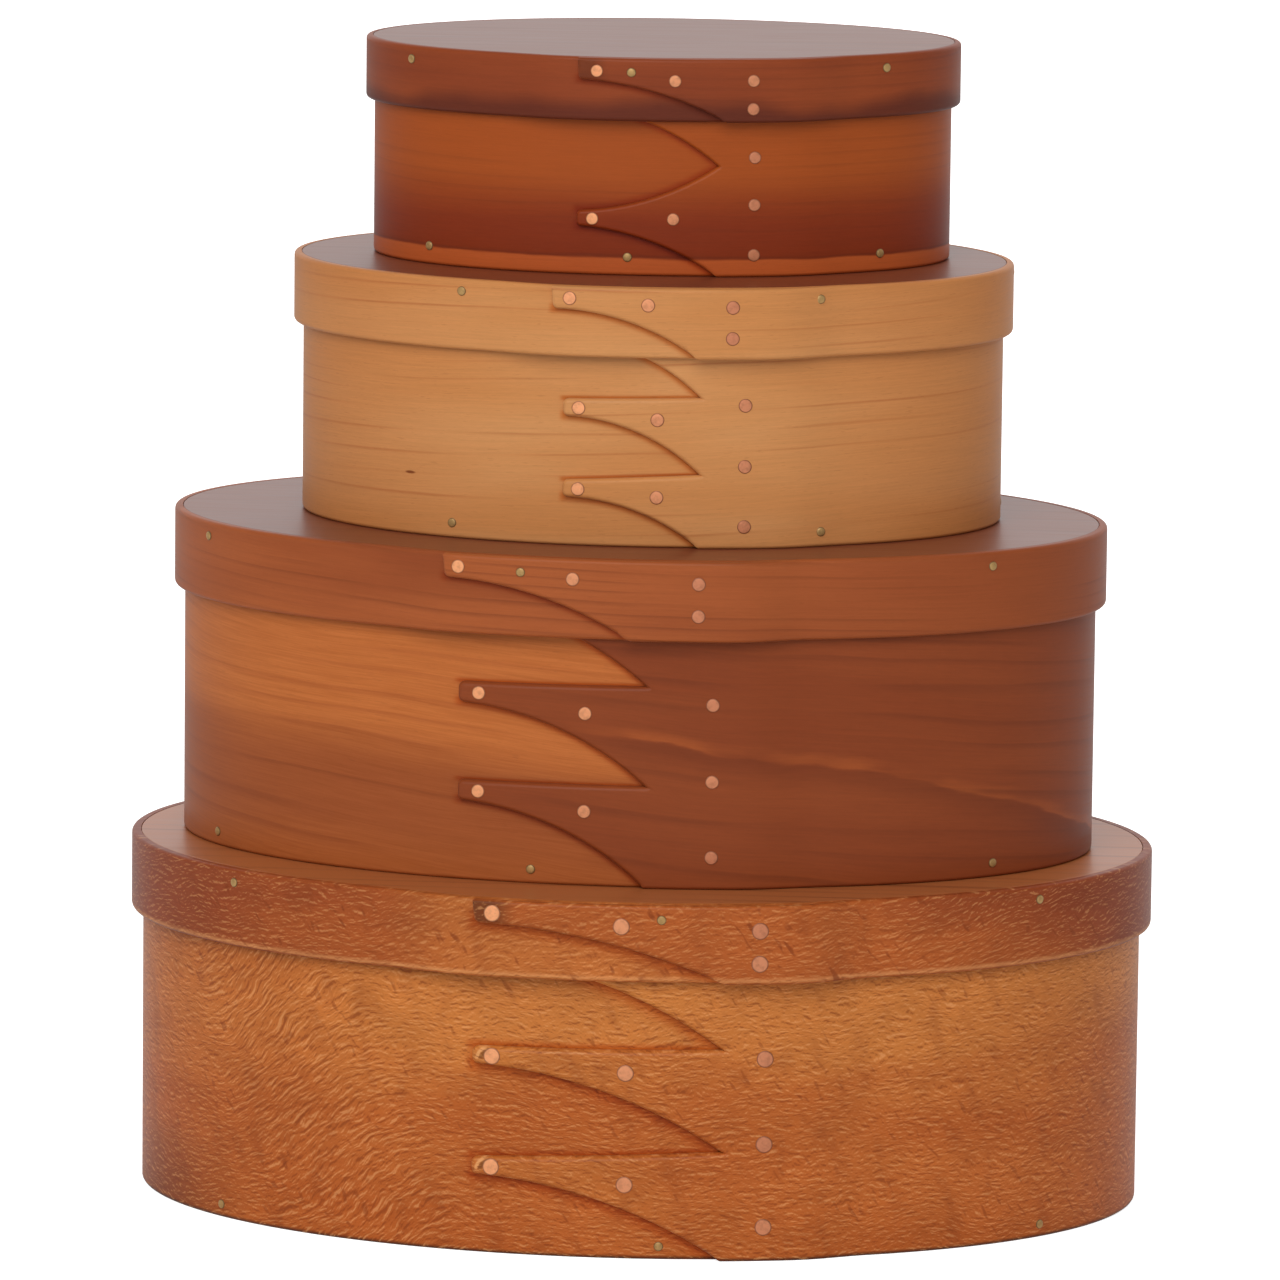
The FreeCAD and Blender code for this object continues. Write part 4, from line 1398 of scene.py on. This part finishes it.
class OVALBOX_OT_lid_bands(bpy.types.Operator):
    """Cut, bevel and bend the rim of each lid"""

    bl_idname = "ovalbox.lid_bands"
    bl_label = "Lid rims"

    def execute(self, context):
        for seed, box in enumerate(BOXES):
            band, _ = lid_of(box)
            piece = bent_band(box.name + "_lid_rim", band)
            slot, _, wood = BAND_WOODS[box.name]
            material = wood(box.name + "_rim_wood", seed + 11, band)
            finish_piece(piece, box, box.name + "_lid", box.name + "_lid_band", material)
        return {"FINISHED"}


class OVALBOX_OT_boards(bpy.types.Operator):
    """Saw the oval boards of each base and lid"""

    bl_idname = "ovalbox.boards"
    bl_label = "Boards"

    def execute(self, context):
        for seed, box in enumerate(BOXES):
            light = box.name == "box4"
            tone = scene_colours().light_board if light else scene_colours().dark_board
            side, _ = side_of(box)
            base = oval_board(box.name + "_base", side, 0.0, box.base_board)
            material = board_wood(box.name + "_base_wood", seed + 21, tone)
            finish_piece(base, box, box.name, box.name + "_base_board", material)
            rim, _ = lid_of(box)
            floor = box.height - box.lid_board
            top = oval_board(box.name + "_lid_top", rim, floor, box.lid_board)
            material = board_wood(box.name + "_top_wood", seed + 31, tone)
            finish_piece(top, box, box.name + "_lid", box.name + "_lid_board", material)
        return {"FINISHED"}


class OVALBOX_OT_tacks(bpy.types.Operator):
    """Drive the copper tacks of each lap"""

    bl_idname = "ovalbox.tacks"
    bl_label = "Copper tacks"

    def execute(self, context):
        colours = scene_colours()
        tones = colours.copper_bright, colours.copper_dull, colours.copper_rim
        copper = metal("copper", *tones)
        for box in BOXES:
            band, stations = side_of(box)
            side = tack_set(box.name + "_side_copper", box, band, stations)
            finish_piece(side, box, box.name, box.name + "_side_tacks", copper)
            band, stations = lid_of(box)
            lid = tack_set(box.name + "_lid_copper", box, band, stations)
            finish_piece(lid, box, box.name + "_lid", box.name + "_lid_tacks", copper)
        return {"FINISHED"}


class OVALBOX_OT_pins(bpy.types.Operator):
    """Drive the brass pins that hold the boards"""

    bl_idname = "ovalbox.pins"
    bl_label = "Brass pins"

    def execute(self, context):
        colours = scene_colours()
        brass = metal("brass", colours.brass_bright, colours.brass_bright, colours.brass_rim)
        for box in BOXES:
            band, _ = side_of(box)
            side = pin_set(box.name + "_base_brass", band, box.pin_angles, box.pin_height)
            finish_piece(side, box, box.name, box.name + "_base_pins", brass)
            band, _ = lid_of(box)
            height = box.height - box.lid_pin_depth
            lid = pin_set(box.name + "_lid_brass", band, box.lid_pin_angles, height)
            finish_piece(lid, box, box.name + "_lid", box.name + "_lid_pins", brass)
        return {"FINISHED"}


FLOOR_SIZE = 14.0
FLOOR_GLOW = 0.8  # brings the floor to plain white where it is looked at
SOFT_LIGHT = 0.38  # from all round
LIT_PLACE = (0, 0, 0.12)  # that the lights face, near the middle of the stack
LIGHT_SIZE = (2.4, 2.4)
KEY_PLACE, KEY_WATTS = (-0.4, -2.7, 2.2), 76
BACK_PLACE, BACK_WATTS = (0.8, 2.6, 1.6), 26
EYE = Vector((0.2461, -2.7200, 0.5847))
AIM = Vector((-0.00107, 0.00261, 0.13967))
FOCAL_PIXELS = 10958.0  # focal length over a frame of FRAME_PIXELS
FRAME_PIXELS = 1280.0
SENSOR = 36.0  # mm
CAMERA_ROLL = math.radians(0.639)


def area_light(name, place, watts, mirrored=True):
    """A square soft light that faces the stack."""
    bpy.ops.object.light_add(type="AREA", location=place)
    light = bpy.context.object
    light.name = name
    light.data.shape = "RECTANGLE"
    light.data.size, light.data.size_y = LIGHT_SIZE
    light.data.energy = watts
    light.visible_glossy = mirrored
    direction = Vector(LIT_PLACE) - Vector(place)
    light.rotation_euler = direction.to_track_quat("-Z", "Y").to_euler()


class OVALBOX_OT_stage(bpy.types.Operator):
    """Lay the pale floor and set the lights, the surroundings and the camera"""

    bl_idname = "ovalbox.stage"
    bl_label = "Stage"

    def execute(self, context):
        self.floor()
        self.surroundings(context.scene)
        area_light("key", KEY_PLACE, KEY_WATTS)
        area_light("back", BACK_PLACE, BACK_WATTS, mirrored=False)
        self.camera(context.scene)
        context.scene.view_settings.view_transform = "Standard"
        return {"FINISHED"}

    def floor(self):
        bpy.ops.object.select_all(action="DESELECT")
        bpy.ops.mesh.primitive_plane_add(size=FLOOR_SIZE, location=(0, 0, 0))
        floor = bpy.context.object
        floor.name = "floor"
        material = bpy.data.materials.new("white_ground")
        material.use_nodes = True
        nodes = Nodes(material.node_tree)
        nodes.tree.nodes.clear()
        matt = nodes.add("ShaderNodeBsdfDiffuse", {}, {"Color": (0.9, 0.9, 0.9)})
        seen = nodes.add("ShaderNodeLightPath", {}, {}, "Is Camera Ray")
        lit = {"Color": (1, 1, 1), "Strength": seen * FLOOR_GLOW}
        glow = nodes.add("ShaderNodeEmission", {}, lit)
        both_ways = nodes.add("ShaderNodeAddShader", {}, {0: matt, 1: glow})
        nodes.add("ShaderNodeOutputMaterial", {}, {"Surface": both_ways})
        floor.data.materials.append(material)

    def surroundings(self, scene):
        world = bpy.data.worlds.new("studio")
        scene.world = world
        world.use_nodes = True
        nodes = Nodes(world.node_tree)
        nodes.tree.nodes.clear()
        path = nodes.add("ShaderNodeLightPath").socket.node

        def ray(name):
            return Value(nodes, path.outputs[name])

        clear = ray("Is Camera Ray") + ray("Is Transmission Ray")
        direction = nodes.add("ShaderNodeTexCoord", {}, {}, "Generated")
        _, back, _ = nodes.split(direction)  # what is mirrored is dim in front and white behind
        mirrored = ray("Is Glossy Ray") * (0.1 + 0.9 * nodes.smooth(back, -0.2, 0.6))
        soft = (1 - ray("Is Glossy Ray")) * (1 - clear) * SOFT_LIGHT
        sockets = {"Color": (1, 1, 1), "Strength": clear + mirrored + soft}
        sky = nodes.add("ShaderNodeBackground", {}, sockets)
        nodes.add("ShaderNodeOutputWorld", {}, {"Surface": sky})

    def camera(self, scene):
        ahead = (AIM - EYE).normalized()
        level = ahead.cross(Vector((0, 0, 1))).normalized()
        upright = level.cross(ahead)
        right = level * math.cos(CAMERA_ROLL) + upright * math.sin(CAMERA_ROLL)
        above = upright * math.cos(CAMERA_ROLL) - level * math.sin(CAMERA_ROLL)
        bpy.ops.object.camera_add()
        camera = bpy.context.object
        camera.data.sensor_width = SENSOR
        camera.data.lens = SENSOR * FOCAL_PIXELS / FRAME_PIXELS
        camera.data.clip_end = 100
        axes = Matrix((right, above, -ahead)).transposed().to_4x4()
        camera.matrix_world = Matrix.Translation(EYE) @ axes
        scene.camera = camera


OPERATORS = (
    OVALBOX_OT_side_bands,
    OVALBOX_OT_lid_bands,
    OVALBOX_OT_boards,
    OVALBOX_OT_tacks,
    OVALBOX_OT_pins,
    OVALBOX_OT_stage,
)


class OVALBOX_PT_panel(bpy.types.Panel):
    """Sizes, colours and steps of the oval boxes"""

    bl_label = "Oval boxes"
    bl_idname = "OVALBOX_PT_panel"
    bl_space_type = "VIEW_3D"
    bl_region_type = "UI"
    bl_category = "Oval boxes"

    def draw(self, context):
        for group in (context.scene.oval_box_sizes, context.scene.oval_box_colours):
            column = self.layout.column()
            for name in group.__annotations__:
                column.prop(group, name)
        for operator in OPERATORS:
            self.layout.operator(operator.bl_idname)


CLASSES = (BoxSizes, BoxColours, *OPERATORS, OVALBOX_PT_panel)


def register():
    for each in CLASSES:
        bpy.utils.register_class(each)
    bpy.types.Scene.oval_box_sizes = bpy.props.PointerProperty(type=BoxSizes)
    bpy.types.Scene.oval_box_colours = bpy.props.PointerProperty(type=BoxColours)


def unregister():
    del bpy.types.Scene.oval_box_sizes
    del bpy.types.Scene.oval_box_colours
    for each in reversed(CLASSES):
        bpy.utils.unregister_class(each)


def main():
    register()
    bpy.ops.ovalbox.side_bands()
    bpy.ops.ovalbox.lid_bands()
    bpy.ops.ovalbox.boards()
    bpy.ops.ovalbox.tacks()
    bpy.ops.ovalbox.pins()
    bpy.ops.ovalbox.stage()


if __name__ == "__main__":
    main()
